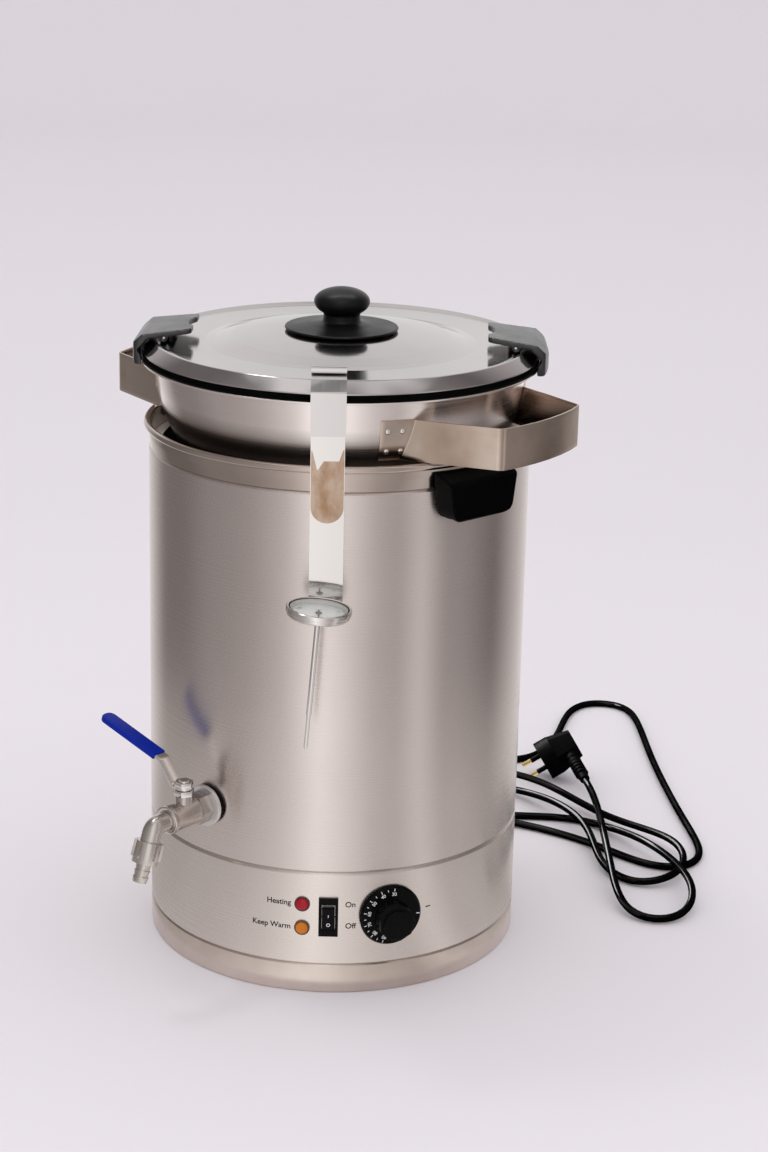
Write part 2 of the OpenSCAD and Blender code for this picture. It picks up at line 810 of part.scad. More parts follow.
// Gland that grips the cord at the back of the housing
module cable_gland() {
    color(black) facing(180) translate([0, 0, gland_z]) {
        outward(gland_r, -urn_r + 12, -urn_r);
        outward(gland_r + 3, -urn_r, -urn_r - gland_flange);
        outward(gland_r - 0.5, -urn_r - gland_flange, -urn_r - gland_l);
    }
}

// A point on the smooth curve that is drawn toward b and c, with a and d beside them
function smooth(a, b, c, d, t) = (pow(1 - t, 3) * a + (3 * pow(t, 3) - 6 * t * t + 4) * b
    + (1 + 3 * t + 3 * t * t - 3 * pow(t, 3)) * c + pow(t, 3) * d) / 6;
function unit(v) = v / norm(v);

// A direction on the plug, whose pins point to -X and whose tail points to -Y, as the plug lies
function about_x(v, a) = [v[0], v[1] * cos(a) - v[2] * sin(a), v[1] * sin(a) + v[2] * cos(a)];
function about_y(v, a) = [v[0] * cos(a) + v[2] * sin(a), v[1], v[2] * cos(a) - v[0] * sin(a)];
function about_z(v, a) = [v[0] * cos(a) - v[1] * sin(a), v[0] * sin(a) + v[1] * cos(a), v[2]];
function plug_way(v) = about_z(about_y(about_x(v, plug_dip), -plug_tilt), plug_turn);

// The cord's whole route, from the gland's mouth to the plug's tail
tail_run = 20;
tail_way = plug_way([0, -1, 0]);
cord_start = [0, urn_r + gland_l, gland_z];
cord_end = [plug_at[0], plug_at[1], plug_z] + plug_way([tail_x, -plug_r - tail_l, 0]);
cord_route = concat([cord_start], [for (p = cord_points) [p[0], p[1], cord_floor + p[2]]],
    [cord_end + tail_run * tail_way, cord_end]);
cord_last = len(cord_route) - 1;
cord_ends = concat([2 * cord_start - cord_route[1]], cord_route, [cord_end - tail_run * tail_way]);
function on_floor(p) = [p[0], p[1], max(p[2], cord_floor)];
cord_path = concat([for (i = [0 : cord_last - 1], k = [0 : cord_steps - 1])
    on_floor(smooth(cord_ends[i], cord_ends[i + 1], cord_ends[i + 2], cord_ends[i + 3],
        k / cord_steps))], [cord_end]);
cord_rings = len(cord_path);
cord_sides = 8;
function cord_way(i) = i == 0 ? [0, 1, 0] : i == cord_rings - 1 ? -tail_way
    : unit(cord_path[i + 1] - cord_path[i - 1]);
function cord_ring(i) = let (way = cord_way(i), aside = unit(cross(way, [0, 0, 1])), up = cross(aside, way))
    [for (s = [0 : cord_sides - 1]) let (turn = s * 360 / cord_sides)
        cord_path[i] + cord_d / 2 * (cos(turn) * aside + sin(turn) * up)];

// One tube swept along the route, of four-sided steps split into triangles
module cord() {
    points = [for (i = [0 : cord_rings - 1]) each cord_ring(i)];
    walls = [for (i = [0 : cord_rings - 2], s = [0 : cord_sides - 1])
        let (a = i * cord_sides + s, b = i * cord_sides + (s + 1) % cord_sides)
            each [[a, b, b + cord_sides], [a, b + cord_sides, a + cord_sides]]];
    start = [for (s = [1 : cord_sides - 2]) [0, s + 1, s]];
    last = (cord_rings - 1) * cord_sides;
    end = [for (s = [1 : cord_sides - 2]) [last, last + s, last + s + 1]];
    color(black) polyhedron(points, concat(walls, start, end), convexity = 10);
}

// Where the plug lies: on the edge of its face, with its pins down
module plug_place() {
    translate([plug_at[0], plug_at[1], plug_z]) rotate([plug_dip, -plug_tilt, plug_turn]) children();
}

// Angled plug with a round face and a six-sided grip, pins toward -X and the tail toward -Y
module plug_body() {
    tail_in = 6;
    boss_r = 7;
    boss_l = 16;
    grip_out = 1;
    grip_taper = 5;
    color(black) plug_place() {
        rotate([0, -90, 0]) cylinder(r = plug_r, h = plug_face);
        rotate([0, 90, 0]) cylinder(r1 = plug_r + grip_out, r2 = plug_r + grip_out - grip_taper,
            h = plug_back, $fn = 6);
        translate([tail_x, -plug_r + tail_in, 0]) rotate([90, 0, 0]) {
            translate([0, 0, -boss_l / 2]) cylinder(r = boss_r, h = boss_l);
            cylinder(r1 = boss_r - 0.5, r2 = cord_d / 2 + 1.4, h = tail_l + tail_in);
        }
    }
}

module plug_pins() {
    pin_r = 2.4;
    pin_l = 19;
    pin_gap = 19;
    color(brass) plug_place() for (side = [-1, 1])
        translate([-plug_face, side * pin_gap / 2, 0]) rotate([0, -90, 0]) cylinder(r = pin_r, h = pin_l);
}

// Round bowl with a flat bottom and a rim lip
module pot_bowl() {
    lip_t = 1.5;
    color(steel) rotate_extrude() {
        intersection() {
            difference() {
                translate([0, bowl_z]) circle(r = bowl_r, $fn = 256);
                translate([0, bowl_z]) circle(r = bowl_r - bowl_wall, $fn = 256);
            }
            band(0, bowl_r + cut, bowl_bottom, lip_top);
        }
        band(0, bowl_flat, bowl_bottom, bowl_bottom + bowl_wall);
        band(bowl_r - bowl_wall, lip_r, lip_top - lip_t, lip_top);
    }
}

// Point in plan at an angle from the handle's own direction, which is -Y
function plan(r, angle) = [r * sin(angle), -r * cos(angle)];

// A straight run of strip in plan
module plan_run(a, b, width) {
    way = unit(b - a);
    side = [-way[1], way[0]] * width / 2;
    polygon([a + side, b + side, b - side, a - side]);
}

tab_gap = 0.05;
arm_in = 12;
tab_turn = grip_foot + grip_tab / 2 - 0.9;
grip_mid_z = grip_z + grip_h / 2;
module pot_handle(turn) {
    wall = bowl_r + tab_gap;
    facing(turn) {
        difference() {
            translate([0, 0, grip_z]) linear_extrude(grip_h) {
                plan_run(plan(grip_r, -grip_corner), plan(grip_r, grip_corner), grip_t);
                for (side = [-1, 1]) {
                    translate(plan(grip_r, side * grip_corner)) circle(r = grip_t / 2);
                    plan_run(plan(grip_r, side * grip_corner),
                        plan(bowl_r - arm_in, side * (grip_foot + 3.5)), grip_t);
                }
            }
            translate([0, 0, bowl_z]) sphere(r = wall + grip_t / 2);
        }
        for (side = [-1, 1])
            rotate([0, 0, side * tab_turn - 90 - grip_tab / 2]) intersection() {
                rotate_extrude(angle = grip_tab) translate([0, bowl_z]) difference() {
                    circle(r = wall + grip_t, $fn = 256);
                    circle(r = wall, $fn = 256);
                    translate([-2 * bowl_r, -2 * bowl_r]) square([2 * bowl_r, 4 * bowl_r]);
                }
                translate([0, 0, grip_z]) cylinder(r = 2 * bowl_r, h = grip_h);
            }
    }
}

module pot_handle_right() {
    color(warm_steel) pot_handle(grip_angle);
}

module pot_handle_left() {
    color(warm_steel) pot_handle(grip_angle + 180);
}

// Four rivet heads on each tab
module pot_rivets() {
    head_h = 1;
    face_r = bowl_r + tab_gap + grip_t;
    sides = [-1, 1];
    color(steel) for (turn = [grip_angle, grip_angle + 180], side = sides, col = sides, row = sides) {
        lift = grip_mid_z + row * grip_h / 4 - bowl_z;
        around = turn + side * tab_turn + col * grip_tab / 4;
        translate([0, 0, bowl_z]) facing(around) rotate([asin(-lift / bowl_r), 0, 0])
            outward(rivet_r, -face_r, -face_r - head_h);
    }
}

// Pressed lid: flat edge, bevel, shoulder, dished deck and domed middle
dome_steps = 8;
function dome(r, edge) = panel_z + crown * (1 - pow((r - collar_r) / (edge - collar_r), 2));
module lid_shell() {
    s = sheet;
    fold = 0.4 * sheet;
    dome_r = panel_r - panel_rise;
    rings = [for (i = [0 : dome_steps]) collar_r + (dome_r - collar_r) * i / dome_steps];
    above = concat([[0, crown_z]], [for (r = rings) [r, dome(r, dome_r)]]);
    below = [for (i = [dome_steps + 1 : -1 : 0]) above[i] - [i == dome_steps + 1 ? fold : 0, s]];
    lean = (lid_r - shoulder_r) / bevel_h;
    wall = s * norm([lean, 1]);
    color(steel) difference() {
        rotate_extrude() polygon(concat(above, [[panel_r, deck_z], [dish_r, deck_z],
            [dish_r + dish, shoulder_z], [shoulder_r, shoulder_z],
            [lid_r, lid_z + s], [lid_r, lid_z], [seal_in, lid_z], [seal_in, lid_z + s],
            [lid_r - wall, lid_z + s], [shoulder_r + lean * s - wall, shoulder_z - s],
            [dish_r + dish + fold, shoulder_z - s], [dish_r + fold, deck_z - s],
            [panel_r - fold, deck_z - s]], below));
        translate([0, 0, crown_z - 2 * cut]) cylinder(r = knob_screw_r + seat, h = 4 * cut);
    }
}

module lid_gasket() {
    color(rubber) rotate_extrude() band(seal_in, lid_r, lip_top, lid_z);
}

// Knob: collar, wide thin skirt, stem and rounded ball
knob_screw_r = 3;
knob_screw_l = 14;
skirt_t = 2;
ball_edge = 9.2;
ball_up = 21;
ball_z = knob_z + skirt_t + ball_up;
module lid_knob() {
    color(black) difference() {
        rotate_extrude() {
            band(0, collar_r, crown_z, knob_z);
            polygon([[0, knob_z], [skirt_r, knob_z], [skirt_r, knob_z + 0.8], [collar_r, knob_z + skirt_t],
                [knob_stem_r, knob_z + skirt_t + 1.5], [0, knob_z + skirt_t + 1.5]]);
            band(0, knob_stem_r, knob_z, ball_z);
            translate([ball_r - ball_edge, ball_z]) circle(r = ball_edge);
            band(0, ball_r - ball_edge, ball_z - ball_edge, ball_z + ball_edge);
        }
        translate([0, 0, crown_z - cut]) cylinder(r = knob_screw_r + seat, h = knob_screw_l + cut);
    }
}

module knob_screw() {
    head_h = 3;
    color(steel) {
        translate([0, 0, crown_z - sheet - head_h]) cylinder(r = 2 * knob_screw_r, h = head_h);
        translate([0, 0, crown_z - sheet]) cylinder(r = knob_screw_r, h = knob_screw_l);
    }
}

// Hinge blocks of both clips, standing on the lid's deck
module clip_sides() {
    for (turn = [clip_angle - 180, clip_angle]) facing(turn) children();
}

module clip_brackets() {
    color(black) clip_sides() difference() {
        translate([0, -hinge_r, deck_z]) {
            translate([-bracket_w / 2, -knuckle_r, 0]) cube([bracket_w, knuckle_r + 3.6, hinge_z - deck_z]);
            translate([-bracket_w / 2, 0, hinge_z - deck_z]) rotate([0, 90, 0])
                cylinder(r = knuckle_r, h = bracket_w);
        }
        translate([-bracket_w, -hinge_r, hinge_z]) rotate([0, 90, 0])
            cylinder(r = clip_pin_r + seat, h = 2 * bracket_w);
    }
}

module clip_pins() {
    color(steel) clip_sides() translate([-clip_w / 2 + 3, -hinge_r, hinge_z]) rotate([0, 90, 0])
        cylinder(r = clip_pin_r, h = clip_w - 6);
}

// One clip: a plate with two ears over the deck, cheeks on the pin and a jaw outside the rim
function plate_at(r) = plate_z + (hinge_r - r) * clip_slope;
module clip(turn) {
    top = plate_at(clip_in_r) + clip_t;
    tip = jaw_in + jaw_t;
    low = lip_top - jaw_drop;
    notch_r = 26;
    notch_deep = 5;
    flare = 3;
    ear_round = 4;
    back = tip - 10;
    pocket = bracket_w + 2 * loose;
    cheek_r = knuckle_r + 0.6;
    facing(turn) difference() {
        intersection() {
            across(clip_w + 2 * flare) {
                polygon([[clip_in_r, plate_at(clip_in_r)], [shoulder_r + 1, plate_at(shoulder_r + 1)],
                    [jaw_in, lid_z + sheet + 1.5], [shoulder_r + 1, low], [tip - 2, low], [tip, low + 2],
                    [tip, lid_z + 3], [tip - 3, plate_at(tip) + clip_t - 5], [back, plate_at(back) + clip_t],
                    [clip_in_r, top]]);
                translate([hinge_r, hinge_z]) circle(r = cheek_r);
                translate([hinge_r - cheek_r, hinge_z]) square([2 * cheek_r, plate_z + 1 - hinge_z]);
            }
            translate([0, 0, low - cut]) linear_extrude(top - low + 2 * cut)
                offset(r = ear_round) offset(delta = -ear_round) difference() {
                    intersection() {
                        circle(r = tip);
                        polygon([[flare - clip_w / 2, -clip_in_r], [clip_w / 2 - flare, -clip_in_r],
                            [clip_w / 2 + flare, -tip], [-clip_w / 2 - flare, -tip]]);
                    }
                    translate([0, notch_r - notch_deep - clip_in_r]) circle(r = notch_r);
                }
        }
        translate([0, 0, low - 2 * cut]) cylinder(r = jaw_in, h = lid_z + sheet + 1 - low + 2 * cut);
        translate([-pocket / 2, -hinge_r - cheek_r - cut, deck_z])
            cube([pocket, 2 * cheek_r + 2 * cut + 1, hinge_z + knuckle_r + 0.5 - deck_z]);
        translate([-clip_w, -hinge_r, hinge_z]) rotate([0, 90, 0])
            cylinder(r = clip_pin_r + fit, h = 2 * clip_w);
    }
}

module clip_right() {
    color(grey_black) clip(clip_angle);
}

module clip_left() {
    color(grey_black) clip(clip_angle - 180);
}

// Hook of the thermometer: a rolled end over the deck, then over the bevel and down the front
hook_run = 15;
roll_r = 3.5;
hook_low = lip_top - 24;
hook_y = -strip_y + strip_t;
module hook() {
    t = strip_t;
    hook_in = shoulder_r - hook_run;
    color(steel) translate([strip_x, 0, 0]) across(strip_w + 1) {
        polygon([[hook_in, shoulder_z], [shoulder_r + 0.6, shoulder_z], [hook_y, lid_z + sheet + 1],
            [hook_y, hook_low], [hook_y + t, hook_low], [hook_y + t, lid_z + sheet + 1.6],
            [shoulder_r + 1, shoulder_z + t], [hook_in, shoulder_z + t]]);
        translate([hook_in, shoulder_z + roll_r]) difference() {
            circle(r = roll_r);
            circle(r = roll_r - t);
        }
    }
}

// Long flat strip that ends in a shelf for the gauge
module strip() {
    t = strip_t;
    lap = 20;
    color(steel) difference() {
        union() {
            translate([strip_x - strip_w / 2, strip_y - t, gauge_seat - t])
                cube([strip_w, t, hook_low + lap - gauge_seat]);
            at_gauge() translate([-shelf_w / 2, -shelf_w / 2, -t])
                cube([shelf_w, strip_y - gauge_y + shelf_w / 2, t]);
        }
        at_gauge() translate([0, 0, -4 * t]) cylinder(r = probe_r + loose, h = 8 * t);
    }
}

// Frame of the gauge: seat at zero, leaning sideways
module at_gauge() {
    translate([gauge_x, gauge_y, gauge_seat]) rotate([0, gauge_lean, 0]) children();
}

face_t = 1;
face_z = 1.5;
lens_z = gauge_h - 2;
module gauge_case() {
    inner = gauge_r - bezel_wall;
    color(steel) at_gauge() difference() {
        cylinder(r = gauge_r, h = gauge_h);
        translate([0, 0, face_z]) cylinder(r = inner, h = gauge_h);
        translate([0, 0, -cut]) cylinder(r = probe_r + seat, h = 4 * cut);
    }
}

module gauge_face() {
    color([0.92, 0.92, 0.88]) at_gauge() difference() {
        translate([0, 0, face_z]) cylinder(r = gauge_r - bezel_wall - seat, h = face_t);
        translate([0, 0, face_z - cut]) cylinder(r = probe_r + seat, h = face_t + 2 * cut);
    }
}

module gauge_lens() {
    color([0.8, 0.85, 0.9, 0.4]) at_gauge() translate([0, 0, lens_z])
        cylinder(r = gauge_r - bezel_wall - seat, h = 1.2);
}

module probe_stem() {
    color(steel) at_gauge() translate([0, 0, -probe_l])
        cylinder(r = probe_r, h = probe_l + face_z + face_t);
}

module gauge_needle() {
    hub_r = 2.4;
    length = gauge_r - 6;
    width = 1.2;
    tail = 5;
    color(black) at_gauge() translate([0, 0, face_z + face_t + 0.2]) {
        cylinder(r = hub_r, h = 1.2);
        translate([-width / 2, -length, 0.2]) cube([width, length + tail, 0.6]);
    }
}

base_pan();
base_screws();
control_housing();
outer_jacket();
rim_ring();
water_tank();
heat_plate();
heating_element();
thermostat_body();
sensor_bulb();
terminal_block();
switch_housing();
lamp_bezels();
red_lamp();
amber_lamp();
side_handle_right();
side_handle_left();
handle_screws();
tap_gasket();
tap_flange();
tap_lock_nut();
valve_body();
packing_nut();
spout_elbow();
union_nut();
hose_tail();
cable_gland();
cord();
plug_body();
plug_pins();
pot_bowl();
pot_handle_right();
pot_handle_left();
pot_rivets();
lid_shell();
lid_gasket();
lid_knob();
knob_screw();
clip_brackets();
clip_pins();
clip_right();
clip_left();
hook();
strip();
gauge_case();
gauge_face();
gauge_lens();
probe_stem();
gauge_needle();
tap_stem();
valve_ball();
tap_lever();
lever_sleeve();
lever_nut();
rocker();
dial_knob();
thermostat_shaft();
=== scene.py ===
# %% [markdown]
# # A water-bath wax melter
# A round steel urn heats water, and a bowl of wax hangs in its mouth under a clipped lid.
# The solids are already measured, so this lesson dresses them: it loads the frame, sets up the
# photograph's camera, then makes each piece in the frame's own millimetres and lets it ride on
# the body that moves it.

# %% Load the frame
import json
import math
from itertools import product

import bmesh
import bpy
from mathutils import Euler, Matrix, Vector

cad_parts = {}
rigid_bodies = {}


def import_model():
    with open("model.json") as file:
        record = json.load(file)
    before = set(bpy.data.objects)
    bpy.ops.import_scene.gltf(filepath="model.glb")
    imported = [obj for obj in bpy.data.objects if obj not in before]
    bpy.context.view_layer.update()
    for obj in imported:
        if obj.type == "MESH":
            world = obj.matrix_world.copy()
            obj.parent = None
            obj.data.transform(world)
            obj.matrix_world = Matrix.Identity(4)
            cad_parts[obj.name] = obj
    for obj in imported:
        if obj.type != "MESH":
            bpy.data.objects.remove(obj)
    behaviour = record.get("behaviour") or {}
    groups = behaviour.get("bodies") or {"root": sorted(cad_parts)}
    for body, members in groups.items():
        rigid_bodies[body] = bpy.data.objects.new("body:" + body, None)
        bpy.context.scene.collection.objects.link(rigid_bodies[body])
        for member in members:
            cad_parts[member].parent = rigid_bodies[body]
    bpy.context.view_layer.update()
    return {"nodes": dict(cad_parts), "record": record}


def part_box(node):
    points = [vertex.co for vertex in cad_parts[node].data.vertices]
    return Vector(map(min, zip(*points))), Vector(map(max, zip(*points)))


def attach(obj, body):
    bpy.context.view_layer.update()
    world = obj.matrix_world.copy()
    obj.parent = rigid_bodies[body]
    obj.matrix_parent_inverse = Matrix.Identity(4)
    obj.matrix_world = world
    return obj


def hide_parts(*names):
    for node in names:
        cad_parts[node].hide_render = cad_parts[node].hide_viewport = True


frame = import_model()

MM = 0.001
record = frame["record"]
body_of = {n: b for b, names in record["behaviour"]["bodies"].items() for n in names}
slot_of = {s["node"]: s["material_slot"] for s in record["subparts"]}
to_metres = Matrix.Scale(MM, 4)


def new_object(name, data):
    """An object in the scene that holds a mesh, a curve, a lamp or a camera."""
    thing = bpy.data.objects.new(name, data)
    bpy.context.collection.objects.link(thing)
    return thing


# %% [markdown]
# The camera was found by fitting the ellipses of the urn's rims in the picture.
# A tall picture takes the sensor's 36 mm along its height, which is what AUTO does.

# %% Camera
lens = bpy.data.cameras.new("photo_lens")
lens.lens = 77.01
lens.sensor_width = 36
lens.clip_end = 60
camera = new_object("photo_camera", lens)
camera_right = (0.999680, -0.012892, 0.021798)
camera_up = (-0.016884, 0.302231, 0.953091)
camera_back = (-0.018875, -0.953153, 0.301916)
camera_turn = Matrix((camera_right, camera_up, camera_back)).transposed().to_4x4()
camera_at = (0, -1.8879, 0.8928)
camera.matrix_world = Matrix.Translation(camera_at) @ camera_turn
bpy.context.scene.camera = camera
bpy.context.scene.view_settings.view_transform = "Standard"
print("camera", camera.location)

# %% [markdown]
# Every finish is a small node tree. Trees could be drawn by hand in the shader editor; built by
# short helpers, they can be read and repeated. One adds a node with its values, one joins nodes,
# and one starts a material with one Principled shader.

# %% Nodes and materials


def add(tree, kind, **values):
    node = tree.nodes.new(kind)
    for key, value in values.items():
        if key in node.inputs:
            node.inputs[key].default_value = value
        else:
            setattr(node, key, value)
    return node


def chain(tree, last, *steps):
    """Joins nodes one after another, from an output on. Each step is a node and the socket that
    takes what came before."""
    for node, socket in steps:
        tree.links.new(last, node.inputs[socket])
        last = node.outputs[0] if node.outputs else None


def start_finish(name, **sockets):
    finish = bpy.data.materials.new(name)
    finish.use_nodes = True
    tree = finish.node_tree
    shader = tree.nodes["Principled BSDF"]
    for key, value in sockets.items():
        shader.inputs[key.replace("_", " ")].default_value = value
    return finish, tree, shader


print("node helpers ready")

# %% [markdown]
# No real surface has one even colour. Noise at Object coordinates stays with its piece, and
# stretched along one axis its spots become brushed lines. The same pattern can drive colour,
# roughness and bump, so that they agree.

# %% Patterns


def pattern(tree, scale, detail=3.0, rough=0.55, seed=0.0):
    """Noise on Object coordinates, stretched by a scale per metre on each axis."""
    place = add(tree, "ShaderNodeTexCoord")
    stretch = add(tree, "ShaderNodeMapping", Scale=scale, Location=(seed, seed, seed))
    noise = add(tree, "ShaderNodeTexNoise", Scale=1.0, Detail=detail, Roughness=rough)
    chain(tree, place.outputs["Object"], (stretch, "Vector"), (noise, "Vector"))
    return noise.outputs["Fac"]


def between(tree, value, low, high, from_low=0.3, from_high=0.7):
    """Maps a pattern's middle range onto low to high."""
    node = add(tree, "ShaderNodeMapRange")
    limits = {"From Min": from_low, "From Max": from_high, "To Min": low, "To Max": high}
    for socket, limit in limits.items():
        node.inputs[socket].default_value = limit
    tree.links.new(value, node.inputs["Value"])
    return node.outputs["Result"]


def own_axes(tree):
    """Object coordinates, taken apart into X, Y and Z."""
    place = add(tree, "ShaderNodeTexCoord")
    apart = add(tree, "ShaderNodeSeparateXYZ")
    chain(tree, place.outputs["Object"], (apart, "Vector"))
    return apart.outputs


def blend_colours(tree, value, first, second):
    """Mixes two colours, each given as numbers or as a node's output."""
    node = add(tree, "ShaderNodeMix", data_type="RGBA")
    for socket, colour in ((6, first), (7, second)):
        if isinstance(colour, tuple):
            node.inputs[socket].default_value = (*colour, 1)
        else:
            tree.links.new(colour, node.inputs[socket])
    tree.links.new(value, node.inputs["Factor"])
    return node.outputs[2]


def raise_grain(tree, shader, value, strength, distance):
    bump = add(tree, "ShaderNodeBump", Strength=strength, Distance=distance)
    chain(tree, value, (bump, "Height"), (shader, "Normal"))


print("patterns ready")

# %% [markdown]
# Steel is most of this object. The urn was brushed round its axis, so its grain runs level and
# reflections smear up and down into tall bands. The lid is brushed in one straight direction,
# the bowl is nearly polished, and the strip handles carry brown heat tint.

# %% Steel finishes


def steel(name, colour, dark, rough, grain, streak=0.06, anisotropy=0.0, smear=0.25, bump=0.08,
          painted_shade=None, spots=(9, 9, 7)):
    """Metal with grain lines and smudges. A painted shade, given as (low, high, share), darkens it
    below a height, where it stands in for a dark reflection."""
    finish, tree, shader = start_finish(name, Metallic=1.0, Anisotropic=anisotropy)
    lines = pattern(tree, grain, 4.0, 0.6)
    clouds = pattern(tree, spots, 4.0, 0.6, seed=3.1)
    smudge = between(tree, clouds, 0.0, smear, 0.42, 0.72)
    colour_out = blend_colours(tree, smudge, colour, dark)
    # Painted shade: below a height the colour is blended toward near black, standing in for the
    # dark gap that the wall reflects there.
    if painted_shade:
        painted_shade_low, painted_shade_high, painted_shade_share = painted_shade
        depth = between(tree, own_axes(tree)["Z"], painted_shade_share, 0.0, painted_shade_low, painted_shade_high)
        colour_out = blend_colours(tree, depth, colour_out, (0.03, 0.022, 0.018))
    tree.links.new(colour_out, shader.inputs["Base Color"])
    shine = between(tree, lines, rough - streak, rough + streak)
    tree.links.new(shine, shader.inputs["Roughness"])
    raise_grain(tree, shader, lines, bump, 0.0001)
    if anisotropy:
        shader.inputs["Anisotropic Rotation"].default_value = 0.25
        along = add(tree, "ShaderNodeTangent", direction_type="RADIAL", axis="Z")
        tree.links.new(along.outputs["Tangent"], shader.inputs["Tangent"])
    return finish


level_grain = (5, 5, 1900)
jacket_steel = steel("jacket_steel", (0.73, 0.66, 0.63), (0.62, 0.55, 0.52), 0.28, level_grain,
                     streak=0.02, anisotropy=0.75, smear=0.4, bump=0.012)
housing_steel = steel("housing_steel", (0.75, 0.685, 0.645), (0.66, 0.595, 0.56), 0.28, level_grain,
                      streak=0.02, anisotropy=0.7, smear=0.4, bump=0.012)
skirt_steel = steel("skirt_steel", (0.74, 0.65, 0.59), (0.52, 0.44, 0.39), 0.22, level_grain,
                    streak=0.04, anisotropy=0.4, smear=0.8, bump=0.05)
rim_steel = steel("rim_steel", (0.58, 0.50, 0.45), (0.45, 0.375, 0.335), 0.13, level_grain,
                  streak=0.03, anisotropy=0.4, smear=0.5, bump=0.02)
# The bowl's finish carries a painted shade low on its wall, where it would reflect the dark gap
# above the rim.
bowl_steel = steel("bowl_steel", (0.99, 0.91, 0.87), (0.82, 0.73, 0.68), 0.22, (9, 9, 900),
                   anisotropy=0.7, smear=0.5, bump=0.02, painted_shade=(0.428, 0.450, 0.85))
lid_steel = steel("lid_steel", (0.565, 0.53, 0.53), (0.475, 0.44, 0.43), 0.12, (12, 1300, 12),
                  streak=0.02, smear=0.5, bump=0.008)
tint_steel = steel("tint_steel", (0.60, 0.50, 0.43), (0.30, 0.21, 0.145), 0.20, (14, 14, 900),
                   smear=1.0, bump=0.03)
hook_steel = steel("hook_steel", (0.70, 0.67, 0.665), (0.62, 0.59, 0.58), 0.20, (1200, 10, 10),
                   streak=0.03, bump=0.02)
strip_steel = steel("strip_steel", (0.80, 0.765, 0.745), (0.74, 0.705, 0.685), 0.07, (1200, 10, 10),
                    streak=0.03, bump=0.02)
bright_steel = steel("bright_steel", (0.80, 0.77, 0.745), (0.68, 0.65, 0.625), 0.12, (60, 60, 60),
                     streak=0.04, bump=0.03)
cast_steel = steel("cast_steel", (0.60, 0.555, 0.52), (0.42, 0.375, 0.34), 0.25, (900, 900, 900),
                   smear=0.8, bump=0.16)
tank_steel = steel("tank_steel", (0.62, 0.58, 0.55), (0.45, 0.42, 0.40), 0.35, level_grain)
print("steel finishes", 12)

# %% [markdown]
# Plastics differ mostly in gloss. Each gets a fine moulded grain in its bump and a slow change of
# roughness, so that a highlight breaks up a little, as on a handled part. Filled black plastics
# throw back less light than clear ones, so their specular level is low.

# %% Plastic, rubber, glass and small finishes


def plastic(name, colour, rough, grain=2200, bump=0.12, worn=None, shine=0.5):
    finish, tree, shader = start_finish(name, Specular_IOR_Level=shine)
    worn = worn or tuple(min(1, c * 1.5 + 0.001) for c in colour)
    patches = pattern(tree, (30, 30, 30), 3.0)
    mixed = blend_colours(tree, between(tree, patches, 0.0, 0.6), colour, worn)
    tree.links.new(mixed, shader.inputs["Base Color"])
    tree.links.new(between(tree, patches, rough - 0.05, rough + 0.07), shader.inputs["Roughness"])
    raise_grain(tree, shader, pattern(tree, (grain, grain, grain), 2.0), bump, 0.00012)
    return finish


black_plastic = plastic("black_plastic", (0.002, 0.002, 0.002), 0.40, shine=0.06)
gloss_black = plastic("gloss_black", (0.002, 0.002, 0.002), 0.22, bump=0.04, shine=0.07)
knob_black = plastic("knob_black", (0.004, 0.004, 0.004), 0.34, grain=1500, bump=0.1, shine=0.18)
clip_plastic = plastic("clip_plastic", (0.013, 0.012, 0.013), 0.28, grain=3000, bump=0.10,
                       shine=0.8)
black_rubber = plastic("black_rubber", (0.002, 0.002, 0.002), 0.5, shine=0.08)
cord_rubber = plastic("cord_rubber", (0.0015, 0.0015, 0.0015), 0.14, grain=900, bump=0.03,
                      shine=0.35)
blue_vinyl = plastic("blue_vinyl", (0.001, 0.016, 0.29), 0.30, grain=700, bump=0.08,
                     worn=(0.002, 0.022, 0.36), shine=0.09)
red_glow = plastic("red_lens", (0.36, 0.002, 0.014), 0.14, grain=380, bump=0.5, shine=0.3)
amber_glow = plastic("amber_lens", (0.56, 0.17, 0.006), 0.14, grain=380, bump=0.5, shine=0.3)
white_print = plastic("white_print", (0.80, 0.80, 0.80), 0.5)
dark_print = plastic("dark_print", (0.008, 0.008, 0.008), 0.5, shine=0.1)
red_print = plastic("red_print", (0.55, 0.03, 0.04), 0.5)
dial_paper = plastic("dial_paper", (0.82, 0.82, 0.78), 0.45)
terminal_plastic = plastic("terminal_plastic", (0.66, 0.65, 0.58), 0.5)
warm_satin = steel("warm_satin", (0.55, 0.42, 0.33), (0.34, 0.19, 0.10), 0.32, (300, 10, 900),
                   smear=1.0, bump=0.05, spots=(70, 70, 32))
brass_metal = steel("brass_metal", (0.78, 0.60, 0.30), (0.66, 0.48, 0.22), 0.22, (90, 90, 90))
heater_metal = steel("heater_metal", (0.70, 0.70, 0.71), (0.60, 0.60, 0.60), 0.40, (60, 60, 60))
clear_glass, glass_tree, glass_shader = start_finish(
    "clear_glass", Base_Color=(0.80, 0.86, 0.84, 1), Alpha=0.14)
glass_haze = between(glass_tree, pattern(glass_tree, (60, 60, 60)), 0.0, 0.03)
glass_tree.links.new(glass_haze, glass_shader.inputs["Roughness"])
print("other finishes", 18)

# %% [markdown]
# Each CAD node first gets a finish: bright steel, or what suits it better where it stays. The ones
# that show most are replaced below by softer or finer meshes in the same place, with a finish of
# their own; screws and the parts hidden inside keep this.

# %% Dress the solids
node_finish = {"heat_plate": heater_metal, "heating_element": heater_metal,
               "sensor_bulb": brass_metal, "terminal_block": terminal_plastic,
               "thermostat_body": black_plastic}
for node, solid in frame["nodes"].items():
    finish = node_finish.get(node, bright_steel)
    for place in solid.material_slots:
        place.material = finish
    if not solid.material_slots:
        solid.data.materials.append(finish)
print("dressed", len(frame["nodes"]))
